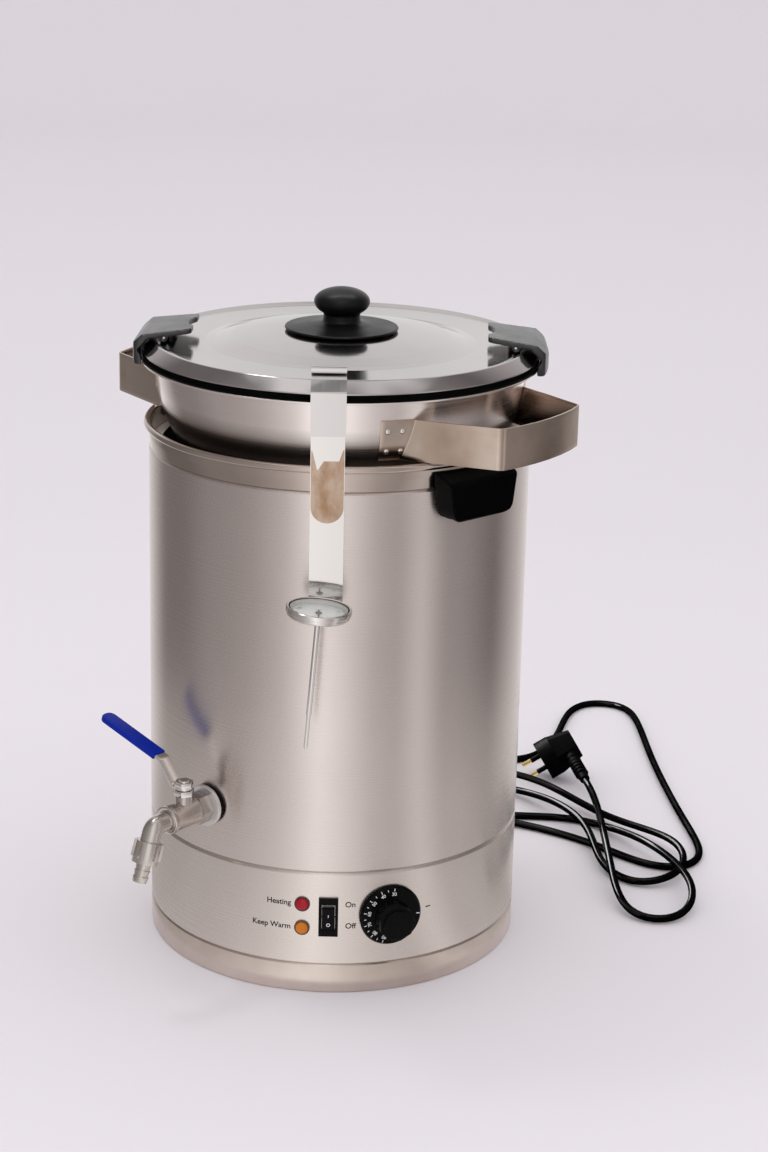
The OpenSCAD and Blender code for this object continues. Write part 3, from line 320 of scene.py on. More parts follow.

# %% [markdown]
# Meshes are drawn in millimetres in their own place and scaled to metres once. Each becomes an
# object with one finish, smooth except across its sharp edges, and rides on the body that moves
# it. Where it stands for solids, it takes their place.

# %% Place a mesh


def to_data(name, drawn):
    """What was drawn as a mesh that objects can hold."""
    mesh = bpy.data.meshes.new(name)
    drawn.to_mesh(mesh)
    drawn.free()
    return mesh


def place_mesh(name, mesh, finish, body, nodes=(), smooth=35, slot=None):
    mesh.materials.clear()
    mesh.materials.append(finish)
    mesh.shade_smooth()
    mesh.set_sharp_from_angle(angle=math.radians(smooth))
    piece = new_object(name, mesh)
    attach(piece, body)
    if nodes:
        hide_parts(*nodes)
    slot = slot or (slot_of[nodes[0]] if nodes else None)
    return piece


def finish_piece(name, mesh_data, finish, body, nodes=(), place=None, smooth=35, slot=None):
    """Makes an object of a mesh drawn in millimetres, and lets it ride on a body."""
    if place is not None:
        mesh_data.transform(place)
    mesh_data.transform(to_metres)
    bmesh.ops.recalc_face_normals(mesh_data, faces=mesh_data.faces)
    return place_mesh(name, to_data(name, mesh_data), finish, body, nodes, smooth, slot)


def spin(degrees):
    return Matrix.Rotation(math.radians(degrees), 4, "Z")


def tilt(degrees, axis):
    return Matrix.Rotation(math.radians(degrees), 4, axis)


def shift(x, y, z):
    return Matrix.Translation((x, y, z))


print("placing ready")

# %% [markdown]
# Most parts here are spun, rolled or turned, so an outline turned round Z makes them, and corners
# in sheet or plastic are never sharp. The Screw modifier could turn an outline too, but here every
# ring of points is known, so the ends close exactly.

# %% Turn an outline


def lathe(outline, steps=160, closed=True):
    """Turns [radius, height] points round Z; closed joins the last point to the first."""
    mesh = bmesh.new()
    rings = []
    for r, z in outline:
        if r < 1e-6:
            rings.append([mesh.verts.new((0, 0, z))])
            continue
        turns = (2 * math.pi * i / steps for i in range(steps))
        rings.append([mesh.verts.new((r * math.cos(a), r * math.sin(a), z)) for a in turns])
    pairs = list(zip(rings, rings[1:]))
    if closed:
        pairs.append((rings[-1], rings[0]))
    for low, high in pairs:
        for i in range(steps):
            j = (i + 1) % steps
            turns = ((low, i), (low, j), (high, j), (high, i))
            corners = list(dict.fromkeys(ring[k % len(ring)] for ring, k in turns))
            if len(corners) > 2:
                mesh.faces.new(corners)
    return mesh


def soften(points, radius, cuts=4, closed=True):
    """Rounds an outline's corners. A point may carry its own radius as a third number."""
    result = []
    count = len(points)
    for i, point in enumerate(points):
        own = point[2] if len(point) > 2 else radius
        here = Vector(point[:2])
        if own <= 0 or (not closed and i in (0, count - 1)):
            result.append(tuple(here))
            continue
        before = Vector(points[i - 1][:2]) - here
        after = Vector(points[(i + 1) % count][:2]) - here
        half = before.angle(after) / 2
        back = min(own / math.tan(half), 0.49 * before.length, 0.49 * after.length)
        start = here + before.normalized() * back
        end = here + after.normalized() * back
        for k in range(cuts + 1):
            t = k / cuts
            curve = start * (1 - t) ** 2 + here * (2 * t * (1 - t)) + end * t ** 2
            result.append(tuple(curve))
    return result


def turned(outline, radius, cuts, steps, closed=True):
    """A lathe of an outline whose corners are rounded first."""
    return lathe(soften(outline, radius, cuts, closed), steps, closed)


print("outlines ready")

# %% [markdown]
# Hexagons, castings and small mouldings come from their solids. A solid arrives as loose triangles,
# so they are joined, flat neighbours become one face, and a narrow bevel then breaks the sharp
# edges, because a real edge always catches a line of light.

# %% Copy a solid


def round_edges(mesh, edges, radius, segments):
    bmesh.ops.bevel(mesh, geom=edges, offset=radius, segments=segments, profile=0.5, affect="EDGES",
                    clamp_overlap=True)


def from_cad(node, finish, bevel, segments=2):
    """A solid's own shape with its triangles joined and its edges rounded, in its own place."""
    mesh = bmesh.new()
    mesh.from_mesh(frame["nodes"][node].data)
    bmesh.ops.remove_doubles(mesh, verts=mesh.verts, dist=2e-6)
    bmesh.ops.dissolve_limit(mesh, angle_limit=math.radians(0.6), verts=mesh.verts,
                             edges=mesh.edges)
    edges = [e for e in mesh.edges if len(e.link_faces) == 2
             and e.calc_face_angle(0) > math.radians(40)]
    round_edges(mesh, edges, bevel * MM, segments)
    copy = to_data(node + "_piece", mesh)
    if "custom_normal" in copy.attributes:
        copy.attributes.remove(copy.attributes["custom_normal"])
    return place_mesh(copy.name, copy, finish, body_of[node], (node,))


print("solids ready")

# %% [markdown]
# The mains cord lies where its solid lies, so the points are the same, in millimetres here and in
# metres in the curve. A smooth curve is drawn toward every point, so that no bend is tighter than
# four of the cord's widths, and a round bevel on one open spline gives the cord its thickness.

# %% Cord
cord_d = 6.5
cord_floor = cord_d / 2 + 0.1
cord_points = [
    (0, 190, 57), (10, 226, 47), (48, 229, 26), (100, 202, 3), (172, 183, 0), (232, 142, 0),
    (274, 90, 0), (312, 88, 0), (331, 122, 0), (321, 190, 0), (308, 340, 0), (308, 448, 0),
    (299, 494, 0), (257, 502, 0), (234, 464, 0), (222, 396, 0), (192, 334, 0), (148, 338, 0),
    (117, 302, 2), (145, 262, 21), (198, 256, 13), (250, 190, 0), (310, 128, 13), (309, 66, 6),
    (262, 46, 0), (232, 90, 0), (231, 142, 15), (206, 200, 15), (168, 266, 0), (114, 280, 0),
    (88, 231, 0), (136, 196, 0), (212, 202, 0), (254, 174, 0), (278, 100, 20), (314, 36, 12),
    (296, -22, 0), (242, -16, 0), (240, 64, 14), (240, 165, 19)]
plug_r = 19
plug_face = 14
plug_z = plug_face * math.sin(math.radians(30)) + plug_r * math.cos(math.radians(30)) + 0.1
plug_place = Matrix.Translation((211, 302, plug_z)) @ Euler(
    (math.radians(15), math.radians(-30), math.radians(8))).to_matrix().to_4x4()
cord_start = Vector((0, 168, 60))
cord_end = plug_place @ Vector((12, -plug_r - 34, 0))
tail_run = 20 * (plug_place.to_3x3() @ Vector((0, -1, 0)))


def smooth_between(a, b, c, d, t):
    return ((1 - t) ** 3 * a + (3 * t ** 3 - 6 * t ** 2 + 4) * b
            + (1 + 3 * t + 3 * t ** 2 - 3 * t ** 3) * c + t ** 3 * d) / 6


def cord_route(steps):
    stops = [cord_start] + [Vector((x, y, z + cord_floor)) for x, y, z in cord_points]
    stops += [cord_end + tail_run, cord_end]
    ends = [2 * stops[0] - stops[1]] + stops + [cord_end - tail_run]
    way = [smooth_between(*ends[i:i + 4], k / steps)
           for i in range(len(stops) - 1) for k in range(steps)] + [cord_end]
    return [Vector((p.x, p.y, max(p.z, cord_floor))) for p in way]


route = cord_route(8)
line = bpy.data.curves.new("mains_cord", "CURVE")
line.dimensions = "3D"
line.bevel_depth = cord_d / 2 * MM
line.bevel_resolution = 4
spline = line.splines.new("POLY")
spline.points.add(len(route) - 1)
for point, stop in zip(spline.points, route):
    point.co = (*(stop * MM), 1)
spline.use_smooth = True
line.materials.append(cord_rubber)
mains_cord = new_object("mains_cord", line)
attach(mains_cord, "urn")
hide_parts("cord")

# %% [markdown]
# Small parts that repeat, such as rivet heads and scale marks, are one mesh set out on points by
# Geometry Nodes. Each point carries its own turn as an attribute, so one tree serves every row
# and ring of them. The result is baked, so nothing live is left when the piece is placed.

# %% Geometry Nodes: repeat a part


def new_tree(name, *inputs):
    tree = bpy.data.node_groups.new(name, "GeometryNodeTree")
    tree.interface.new_socket("Geometry", in_out="INPUT", socket_type="NodeSocketGeometry")
    for label, kind in inputs:
        tree.interface.new_socket(label, in_out="INPUT", socket_type=kind)
    tree.interface.new_socket("Geometry", in_out="OUTPUT", socket_type="NodeSocketGeometry")
    return tree, tree.nodes.new("NodeGroupInput"), tree.nodes.new("NodeGroupOutput")


def settled(holder):
    """The mesh that an object's text or modifiers make. The object itself goes."""
    bpy.context.view_layer.update()
    ready = holder.evaluated_get(bpy.context.evaluated_depsgraph_get())
    mesh = bpy.data.meshes.new_from_object(ready)
    bpy.data.objects.remove(holder)
    return mesh


def bake(name, mesh, tree, **values):
    """Runs a tree on a mesh and returns the mesh it makes."""
    holder = new_object(name + "_points", mesh)
    run = holder.modifiers.new(tree.name, "NODES")
    run.node_group = tree
    for item in tree.interface.items_tree:
        if item.name in values:
            run[item.identifier] = values[item.name]
    result = settled(holder)
    result.name = name
    return result


repeat_tree, given, made = new_tree("set_out_parts", ("Part", "NodeSocketObject"),
                                    ("Finish", "NodeSocketMaterial"))
part_info = add(repeat_tree, "GeometryNodeObjectInfo")
turn_value = add(repeat_tree, "GeometryNodeInputNamedAttribute", data_type="FLOAT_VECTOR",
                 Name="turn")
turn_each = add(repeat_tree, "FunctionNodeEulerToRotation")
set_out = add(repeat_tree, "GeometryNodeInstanceOnPoints")
make_real = add(repeat_tree, "GeometryNodeRealizeInstances")
set_finish = add(repeat_tree, "GeometryNodeSetMaterial")
chain(repeat_tree, given.outputs["Part"], (part_info, "Object"))
chain(repeat_tree, part_info.outputs["Geometry"], (set_out, "Instance"))
chain(repeat_tree, turn_value.outputs["Attribute"], (turn_each, 0), (set_out, "Rotation"))
chain(repeat_tree, given.outputs["Finish"], (set_finish, "Material"))
chain(repeat_tree, given.outputs["Geometry"], (set_out, "Points"), (make_real, "Geometry"),
      (set_finish, "Geometry"), (made, "Geometry"))


def repeat(name, part, stops, finish, body, nodes=(), smooth=35, slot=None):
    """Sets out a part, drawn along Z in millimetres, at matrices."""
    mesh = bpy.data.meshes.new(name + "_stops")
    mesh.from_pydata([stop.translation for stop in stops], [], [])
    turns = mesh.attributes.new("turn", "FLOAT_VECTOR", "POINT")
    for value, stop in zip(turns.data, stops):
        value.vector = stop.to_euler()
    bmesh.ops.recalc_face_normals(part, faces=part.faces)
    sample = new_object(name + "_part", to_data(name + "_part", part))
    result = bake(name, mesh, repeat_tree, Part=sample, Finish=finish)
    bpy.data.objects.remove(sample)
    result.transform(to_metres)
    return place_mesh(name, result, finish, body, nodes, smooth, slot)


print("node tree", repeat_tree.name)

# %% [markdown]
# The urn's shells are rolled from sheet, so their round walls are turned here with many steps to
# keep the tall reflections even. The edges where two shells meet are folded in, which shows as
# a thin dark line.

# %% Urn shells
urn_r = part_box("outer_jacket")[1].x / MM
skirt_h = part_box("control_housing")[0].z / MM
jacket_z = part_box("outer_jacket")[0].z / MM
rim_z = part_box("outer_jacket")[1].z / MM
bead_r = 2.8
bead_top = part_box("rim_ring")[1].z / MM
bead_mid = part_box("rim_ring")[1].x / MM - bead_r
fold = 1.2
flange_in = urn_r - 20


def shell(low, high, inner):
    """A rolled wall between two heights, folded in at both ends and twice as far at the top."""
    r, top_fold = urn_r, 2 * fold
    outline = [(inner, low), (r - fold, low), (r, low + fold), (r, high - top_fold),
               (r - top_fold, high), (inner, high), (inner, high - 1),
               (r - top_fold - 0.4, high - 1), (r - 1, high - top_fold - 0.6),
               (r - 1, low + fold + 0.6), (r - fold - 0.4, low + 1), (inner, low + 1)]
    return turned(outline, 1.0, 3, 256)


def join(parts):
    """One mesh of several, each with its place."""
    whole = bmesh.new()
    for part, place in parts:
        part.transform(place)
        whole.from_mesh(to_data("part", part))
    return whole


tank_clear = urn_r - 8.6
from_cad("base_pan", skirt_steel, 0.4)
finish_piece("housing_shell", shell(skirt_h, jacket_z, flange_in), housing_steel, "urn",
             ("control_housing",), smooth=50)
finish_piece("jacket_shell", shell(jacket_z, rim_z, tank_clear), jacket_steel, "urn",
             ("outer_jacket",), smooth=50)
band_r = bead_mid - bead_r + 1
ring_turns = [2 * math.pi * i / 20 for i in range(20)]
rim_mid = (rim_z + bead_top - bead_r) / 2
rim = turned([(tank_clear, rim_z), (band_r, rim_z, 0.6), (band_r + 0.7, rim_mid, 5),
              (band_r - 0.2, bead_top - bead_r), (band_r - 1, bead_top - bead_r),
              (band_r - 1, rim_z + 1), (tank_clear, rim_z + 1)], 0.3, 5, 256)
bead = lathe([(bead_mid + bead_r * math.cos(a), bead_top - bead_r + bead_r * math.sin(a))
              for a in ring_turns], 256)
finish_piece("rim_with_bead", join([(rim, Matrix()), (bead, Matrix())]), rim_steel, "urn",
             ("rim_ring",), smooth=50)
from_cad("water_tank", tank_steel, 0.3, 1)
print("urn shells up to %.1f mm" % bead_top)

# %% [markdown]
# The bowl is a spun half round with a flat bottom and a rolled lip. Turning one outline gives both
# faces at once.

# %% Bowl
lip_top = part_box("pot_bowl")[1].z / MM
lip_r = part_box("pot_bowl")[1].x / MM
bowl_r = 144.6
bowl_flat = 60
bowl_mid = lip_top + 2


def bowl_arc(radius, low, steps):
    """Points up the round wall, from the flat bottom to a height."""
    first = math.asin(bowl_flat / bowl_r)
    last = math.acos((bowl_mid - low) / radius)
    angles = [first + (last - first) * i / steps for i in range(steps + 1)]
    return [(radius * math.sin(a), bowl_mid - radius * math.cos(a)) for a in angles]


outside = bowl_arc(bowl_r, lip_top - 4, 40)
inside = bowl_arc(bowl_r - 1, lip_top - 2, 40)
lip = soften([outside[-1], (bowl_r + 0.4, lip_top - 1.6), (lip_r, lip_top - 1.6), (lip_r, lip_top),
              (bowl_r - 1, lip_top), inside[-1]], 0.75, 4, closed=False)
bowl = lathe([(0, outside[0][1])] + outside + lip[1:-1] + inside[::-1] + [(0, inside[0][1])], 256,
             closed=False)
finish_piece("wax_bowl", bowl, bowl_steel, "pot", ("pot_bowl",), smooth=50)
print("bowl lip", round(lip_r, 1), "mm")

# %% [markdown]
# Two strip handles are bent round their corners and riveted to the bowl. Each is made row by row,
# because the bowl curves in under the strip's lower edge.

# %% Pot handles
grip_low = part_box("pot_handle_right")[0].z / MM
grip_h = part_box("pot_handle_right")[1].z / MM - grip_low
grip_t = 1.6
grip_r = 196
grip_corner = 15
arm_end = (bowl_r - 12, 35.5)
tab_mid = 35.6
tab_turn = 9
strap_r = bowl_r + 0.05 + grip_t / 2


def in_plan(r, degrees):
    a = math.radians(degrees)
    return Vector((r * math.sin(a), -r * math.cos(a)))


def grip_row(z):
    """One half of the strip's middle line at a height, from the tab's end to the bar's middle."""
    r = math.sqrt(strap_r ** 2 - (z - bowl_mid) ** 2)
    corner = in_plan(grip_r, grip_corner)
    end = in_plan(*arm_end)
    way = (corner - end).normalized()
    along = -end.dot(way) + math.sqrt(end.dot(way) ** 2 - end.length_squared + r * r)
    foot = end + way * along
    foot_turn = math.degrees(math.atan2(foot.x, -foot.y))
    last = tab_mid + tab_turn / 2
    tab = [(*in_plan(r, last + (foot_turn - last) * i / 6), 0) for i in range(6)]
    bar = [(*in_plan(grip_r + 0.6, grip_corner * k), 0) for k in (0.66, 0.33, 0)]
    return soften(tab + [(*foot, 3.0), (*corner, 7.0)] + bar, 0, 6, closed=False)


def grip_strip():
    rows = 8
    mesh = bmesh.new()
    sheets = []
    for i in range(rows + 1):
        half = grip_row(grip_low + grip_h * i / rows)
        line = [Vector(p) for p in half] + [Vector((-p[0], p[1])) for p in half[-2::-1]]
        layers = []
        for side in (-1, 1):
            layer = []
            for k, p in enumerate(line):
                way = (line[min(k + 1, len(line) - 1)] - line[max(k - 1, 0)]).normalized()
                q = p + Vector((-way.y, way.x)) * side * grip_t / 2
                layer.append(mesh.verts.new((q.x, q.y, grip_low + grip_h * i / rows)))
            layers.append(layer)
        sheets.append(layers)
    count = len(sheets[0][0])
    for (near, far), (near_up, far_up) in zip(sheets, sheets[1:]):
        for k in range(count - 1):
            for low, high in ((near, near_up), (far, far_up)):
                mesh.faces.new((low[k], low[k + 1], high[k + 1], high[k]))
        for k in (0, count - 1):
            mesh.faces.new((near[k], far[k], far_up[k], near_up[k]))
    for near, far in (sheets[0], sheets[-1]):
        for k in range(count - 1):
            mesh.faces.new((near[k], near[k + 1], far[k + 1], far[k]))
    bmesh.ops.recalc_face_normals(mesh, faces=mesh.faces)
    edges = [e for e in mesh.edges if e.calc_face_angle(0) > math.radians(60)]
    round_edges(mesh, edges, 0.4, 2)
    return mesh


grip_turns = {"right": 52, "left": 232}
for side, turn in grip_turns.items():
    finish_piece("pot_grip_" + side, grip_strip(), tint_steel, "pot", ("pot_handle_" + side,),
                 place=spin(turn), smooth=40)
print("handles", len(grip_turns))

# %% [markdown]
# Four rivets with low domed heads hold each end of a strip. They are one head set out on points,
# each turned to stand square on the bowl's slope.

# %% Rivets
rivet_r = 2.2
rivet_stops = []
for turn, side, column, row in product(grip_turns.values(), (-1, 1), (-1, 1), (-1, 1)):
    rise = math.asin((grip_low + grip_h / 2 + row * grip_h / 4 - bowl_mid) / bowl_r)
    around = turn + side * tab_mid + column * tab_turn / 4
    on_bowl = shift(0, 0, bowl_mid) @ spin(around) @ tilt(-math.degrees(rise), "X")
    rivet_stops.append(on_bowl @ shift(0, -strap_r - grip_t / 2, 0) @ tilt(90, "X"))
dome = [(rivet_r * math.cos(a), 1.0 * math.sin(a)) for a in (0, 0.3, 0.6, 0.9, 1.2, 1.4)]
repeat("rivet_heads", lathe([(0, -0.3), (rivet_r, -0.3)] + dome + [(0, 1.0)], 20, closed=False),
       rivet_stops, bright_steel, "pot", ("pot_rivets",), smooth=50)
print("rivets", len(rivet_stops))

# %% [markdown]
# The lid is pressed from one sheet: a sloped edge, a flat shoulder, a dished deck and a domed
# middle. Real presses leave rounded folds, so the outline's corners get small radii before it is
# turned. A soft black ring stands for the seal on the bowl's lip and also for the shadow in the
# gap under the lid's edge, so its black is partly painted shadow.

# %% Lid and its seal
lid_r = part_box("lid_shell")[1].x / MM
lid_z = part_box("lid_shell")[0].z / MM
crown_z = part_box("lid_shell")[1].z / MM
dome_h = 6
panel_z = crown_z - dome_h
deck_z = panel_z - 3
shoulder_z = deck_z + 2
shoulder_r = 146
dish_r = 142
collar_r = 21
dome_r = 96
dome_rings = [collar_r + (dome_r - collar_r) * i / 14 for i in range(13)]
dome_line = [(r, panel_z + dome_h * (1 - ((r - collar_r) / (dome_r - collar_r)) ** 2))
             for r in dome_rings]
lid_outline = [(0, crown_z, 0)] + [(r, z, 2) for r, z in dome_line]
lid_outline += [
    (dome_r + 3, deck_z + 1, 8), (dome_r + 10, deck_z, 6), (dish_r - 2, deck_z, 5),
    (dish_r + 2, shoulder_z, 2.5), (shoulder_r, shoulder_z, 2.5), (lid_r, lid_z + 0.9, 0.6),
    (lid_r, lid_z, 0.4), (lid_r - 7, lid_z, 0.3), (lid_r - 7, lid_z + 0.9, 0.3),
    (lid_r - 1.6, lid_z + 0.9, 0.5), (shoulder_r - 0.4, shoulder_z - 1, 1.5),
    (dish_r + 2.4, shoulder_z - 1, 1.5), (dish_r - 1.6, deck_z - 1, 4),
    (dome_r + 10, deck_z - 1, 6), (dome_r + 3, deck_z, 8)]
lid_outline += [(r, z - 1, 2) for r, z in dome_line[::-1]] + [(0, crown_z - 1, 0)]
finish_piece("pressed_lid", turned(lid_outline, 1, 6, 256, closed=False), lid_steel, "lid",
             ("lid_shell",), smooth=60)
# Partly painted shadow: this black ring is the seal, and it also fills the shaded gap under the
# lid's edge.
seal_and_shadow_outline = [(lid_r - 7, lip_top), (lid_r, lip_top), (lid_r, lid_z), (lid_r - 7, lid_z)]
finish_piece("lid_seal", turned(seal_and_shadow_outline, 1.6, 4, 200), black_rubber, "lid", ("lid_gasket",),
             smooth=50)
print("lid", round(lid_r, 1), "mm")

# %% [markdown]
# The knob is a turned plastic piece: a low collar on the lid, a wide thin finger guard, a stem and
# a flattened ball. One softened outline makes it.

# %% Lid knob
knob_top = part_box("lid_knob")[1].z / MM
guard_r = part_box("lid_knob")[1].x / MM
guard_z = crown_z + 1
ball_r = 21.8
ball_up, ball_down = 11, 12
ball_mid = knob_top - ball_up
ball_turns = [math.radians(-48 + 138 * i / 20) for i in range(21)]
ball_line = [(ball_r * math.cos(a), ball_mid + (ball_up if a > 0 else ball_down) * math.sin(a), 0)
             for a in ball_turns]
knob_outline = [
    (0, crown_z, 0), (collar_r, crown_z, 0.2), (collar_r, guard_z, 0.3),
    (guard_r - 1.4, guard_z - 0.4, 0.5), (guard_r, guard_z + 0.4, 0.8),
    (guard_r - 0.8, guard_z + 1.7, 1), (25, guard_z + 3.4, 9), (14.8, guard_z + 5.2, 5),
    (14.2, ball_mid - 10.5, 1.5)] + ball_line[:-1] + [(0, knob_top, 0)]
finish_piece("turned_knob", turned(knob_outline, 1, 7, 128, closed=False), knob_black, "lid",
             ("lid_knob",), smooth=50)
print("knob top", round(knob_top, 1), "mm")

# %% [markdown]
# Two moulded clips hold the lid, and two moulded handles sit on the jacket's shoulder. Thick
# mouldings have no sharp edge anywhere: their solids are cut into small even faces, and smoothing
# those melts every edge round.

# %% Clips and side handles


def moulded(node, finish, grain, rounds, draw_in=0.0):
    """A solid's own shape, cut to an even grain in millimetres and smoothed a number of rounds.
    Its lower edge may be drawn in by a share of its width."""
    holder = new_object(node + "_blank", frame["nodes"][node].data.copy())
    even = holder.modifiers.new("even", "REMESH")
    even.mode = "VOXEL"
    even.voxel_size = grain * MM
    melt = holder.modifiers.new("melt", "SMOOTH")
    melt.factor = 0.5
    melt.iterations = rounds
    shape = settled(holder)
    shape.name = node + "_piece"
    middle = sum((v.co for v in shape.vertices), Vector()) / len(shape.vertices)
    sideways = Vector((-middle.y, middle.x, 0)).normalized()
    heights = [v.co.z for v in shape.vertices]
    low, high = min(heights), max(heights)
    for v in shape.vertices:
        fall = (high - v.co.z) / (high - low)
        v.co -= sideways * v.co.dot(sideways) * draw_in * fall
    return place_mesh(shape.name, shape, finish, body_of[node], (node,), 180)


for side in ("right", "left"):
    moulded("clip_" + side, clip_plastic, 0.7, 14)
    moulded("side_handle_" + side, black_plastic, 0.9, 14, 0.16)
from_cad("clip_brackets", black_plastic, 0.5)
from_cad("clip_pins", bright_steel, 0.4)
print("clips and side handles")

# %% [markdown]
# The thermometer hangs on a bent steel strip. Bent sheet is easiest as a side view: a centre line
# with rounded bends is widened by half the sheet's thickness each way, then drawn out to the
# strip's width.

# %% Hook and strip


def slab(outline, depth, bevel=0.0, segments=3):
    """Extrudes a flat outline upward from Z 0, with rounded edges."""
    mesh = bmesh.new()
    base = mesh.faces.new([mesh.verts.new((x, y, 0)) for x, y in outline])
    raised = bmesh.ops.extrude_face_region(mesh, geom=[base])["geom"]
    for vert in (g for g in raised if isinstance(g, bmesh.types.BMVert)):
        vert.co.z += depth
    if bevel:
        edges = [e for e in mesh.edges if abs(e.verts[0].co.z - e.verts[1].co.z) < 1e-6]
        round_edges(mesh, edges, bevel, segments)
    return mesh


def bent(path, thick, width, radius):
    """A bent strip from its side view, as [distance, height], drawn out along Z."""
    line = [Vector(p) for p in soften(path, radius, 6, closed=False)]
    sides = ([], [])
    for k, p in enumerate(line):
        way = (line[min(k + 1, len(line) - 1)] - line[max(k - 1, 0)]).normalized()
        across = Vector((-way.y, way.x)) * thick / 2
        sides[0].append(tuple(p + across))
        sides[1].append(tuple(p - across))
    mesh = slab(sides[0] + sides[1][::-1], width, min(0.25, thick / 4), 2)
    mesh.transform(shift(0, 0, -width / 2))
    return mesh


side_view = Matrix(((0, 0, -1, 0), (-1, 0, 0, 0), (0, 1, 0, 0), (0, 0, 0, 1)))
strip_x = (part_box("strip")[0].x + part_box("strip")[1].x) / 2 / MM
strip_w = 25
hang_x = -8.5
hook_out = -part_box("hook")[0].y / MM - 0.5
hook_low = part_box("hook")[0].z / MM
roll_in = shoulder_r - 15
roll_turns = [math.radians(-20 + 18 * i) for i in range(16)]
hook_path = [(roll_in + 3 * math.cos(a), shoulder_z + 3.5 + 3 * math.sin(a), 0) for a in roll_turns]
hook_path += [(roll_in, shoulder_z + 0.5, 0.5), (shoulder_r + 0.8, shoulder_z + 0.5, 3),
              (hook_out, lid_z + 2.2, 3), (hook_out, hook_low, 0)]
finish_piece("lid_hook", bent(hook_path, 1, strip_w + 1, 3), hook_steel, "thermometer", ("hook",),
             place=shift(hang_x, 0, 0) @ side_view, smooth=40)
from_cad("strip", strip_steel, 0.25)
tongue_low = 384.5
half = strip_w / 2 - 0.4
low_turns = [-math.pi * i / 16 for i in range(17)]
tongue = [(half * math.cos(a), tongue_low + half + half * math.sin(a)) for a in low_turns]
notch = [tongue[-1], (-half, hook_low - 7), (-7.5, hook_low - 26), (-2.8, hook_low - 18.5),
         (8.4, hook_low - 18.5), (half, hook_low - 7), tongue[0]]
tongue += soften(notch, 0.8, 3, closed=False)[1:-1]
finish_piece("satin_tongue", slab(tongue, 0.1), warm_satin, "thermometer",
             place=shift(hang_x, -hook_out + 0.55, 0) @ tilt(90, "X"), slot=slot_of["strip"])
print("strip at", round(strip_x, 1), "mm")

# %% [markdown]
# The gauge is a shallow cup with a rolled bezel, a printed face, a pointer and a glass. It leans
# a little on its shelf, so everything in it is drawn level and tipped together.

# %% Gauge
gauge_r = 24.3
gauge_h = 7.5
at_gauge = shift(-13.5, -183.8, 321) @ tilt(4.5, "Y")
stem_r = 2.1
case_outline = [(stem_r, 0, 0), (gauge_r - 2.2, 0, 1.2), (gauge_r - 0.9, 1.6, 1),
                (gauge_r - 0.9, 3.4, 0.3), (gauge_r, 3.8, 0.5), (gauge_r, gauge_h - 0.6, 0.8),
                (gauge_r - 0.9, gauge_h, 0.6), (gauge_r - 2, gauge_h - 0.3, 0.5),
                (gauge_r - 1.7, 5.6, 0.2), (gauge_r - 1.7, 1.5, 0.2), (stem_r, 1.5, 0)]
finish_piece("gauge_cup", turned(case_outline, 0.5, 4, 120), bright_steel, "thermometer",
             ("gauge_case",), place=at_gauge, smooth=45)
face_top = 2.5
face_r = gauge_r - 1.75
face_line = [(stem_r, 1.5), (face_r, 1.5), (face_r, face_top - 0.4), (face_r - 0.8, face_top),
             (stem_r, face_top)]
finish_piece("gauge_dial", lathe(face_line, 96), dial_paper, "thermometer", ("gauge_face",),
             place=at_gauge)
glass_outline = [(0, 5.5), (face_r, 5.5), (face_r, 6.2), (face_r - 1.2, 6.65), (0, 6.7)]
seal_line = [(face_r - 1.1, 6.7), (face_r, 6.25), (face_r, 6.9), (face_r - 0.9, 7.0)]
finish_piece("gauge_seal", lathe(seal_line, 96), black_rubber, "thermometer", place=at_gauge,
             slot=slot_of["gauge_lens"])
finish_piece("gauge_glass", lathe(glass_outline, 96, closed=False), clear_glass, "thermometer",
             ("gauge_lens",), place=at_gauge, smooth=60)
probe_l = 104
probe_outline = [(0, -probe_l), (0.7, -probe_l + 0.2), (1.5, -probe_l + 2.4), (1.5, -probe_l + 26),
                 (2, -probe_l + 28), (2, face_top), (0, face_top)]
finish_piece("gauge_probe", lathe(probe_outline, 32, closed=False), bright_steel, "thermometer",
             ("probe_stem",), place=at_gauge, smooth=50)
pointer = slab([(-0.7, 5), (-0.9, 0), (-0.45, -12), (0, -gauge_r + 6.1), (0.45, -12), (0.9, 0),
                (0.7, 5)], 0.5, 0.1)
hub = turned([(0, 2.7), (2.4, 2.7, 0.2), (2.4, 3.6, 0.5), (0, 3.9)], 0.3, 3, 32, closed=False)
finish_piece("gauge_pointer", join([(pointer, shift(0, 0, 3.0)), (hub, Matrix())]), dark_print,
             "needle", ("gauge_needle",), place=at_gauge)
print("gauge", gauge_r, "mm")

# %% [markdown]
# Printed scales are text turned to mesh and laid on the surface, with ticks repeated round them.
# A picture on the face could do it too, but meshes stay sharp in a close view.

# %% Printing on the gauge


def letters(word, height, align="CENTER"):
    """A word as a thin mesh in millimetres, its capitals of a given height, facing +Z."""
    capital_share = 0.7
    text = bpy.data.curves.new(word, "FONT")
    text.body = word
    text.size = height / capital_share
    text.align_x = align
    text.align_y = "CENTER"
    text.extrude = 0.02
    text.offset = 0.022 * height
    mesh = bmesh.new()
    mesh.from_mesh(settled(new_object(word, text)))
    bmesh.ops.remove_doubles(mesh, verts=mesh.verts, dist=1e-4)
    return mesh


def bar(length, width, thick=0.05):
    return slab([(-width / 2, 0), (width / 2, 0), (width / 2, length), (-width / 2, length)], thick)


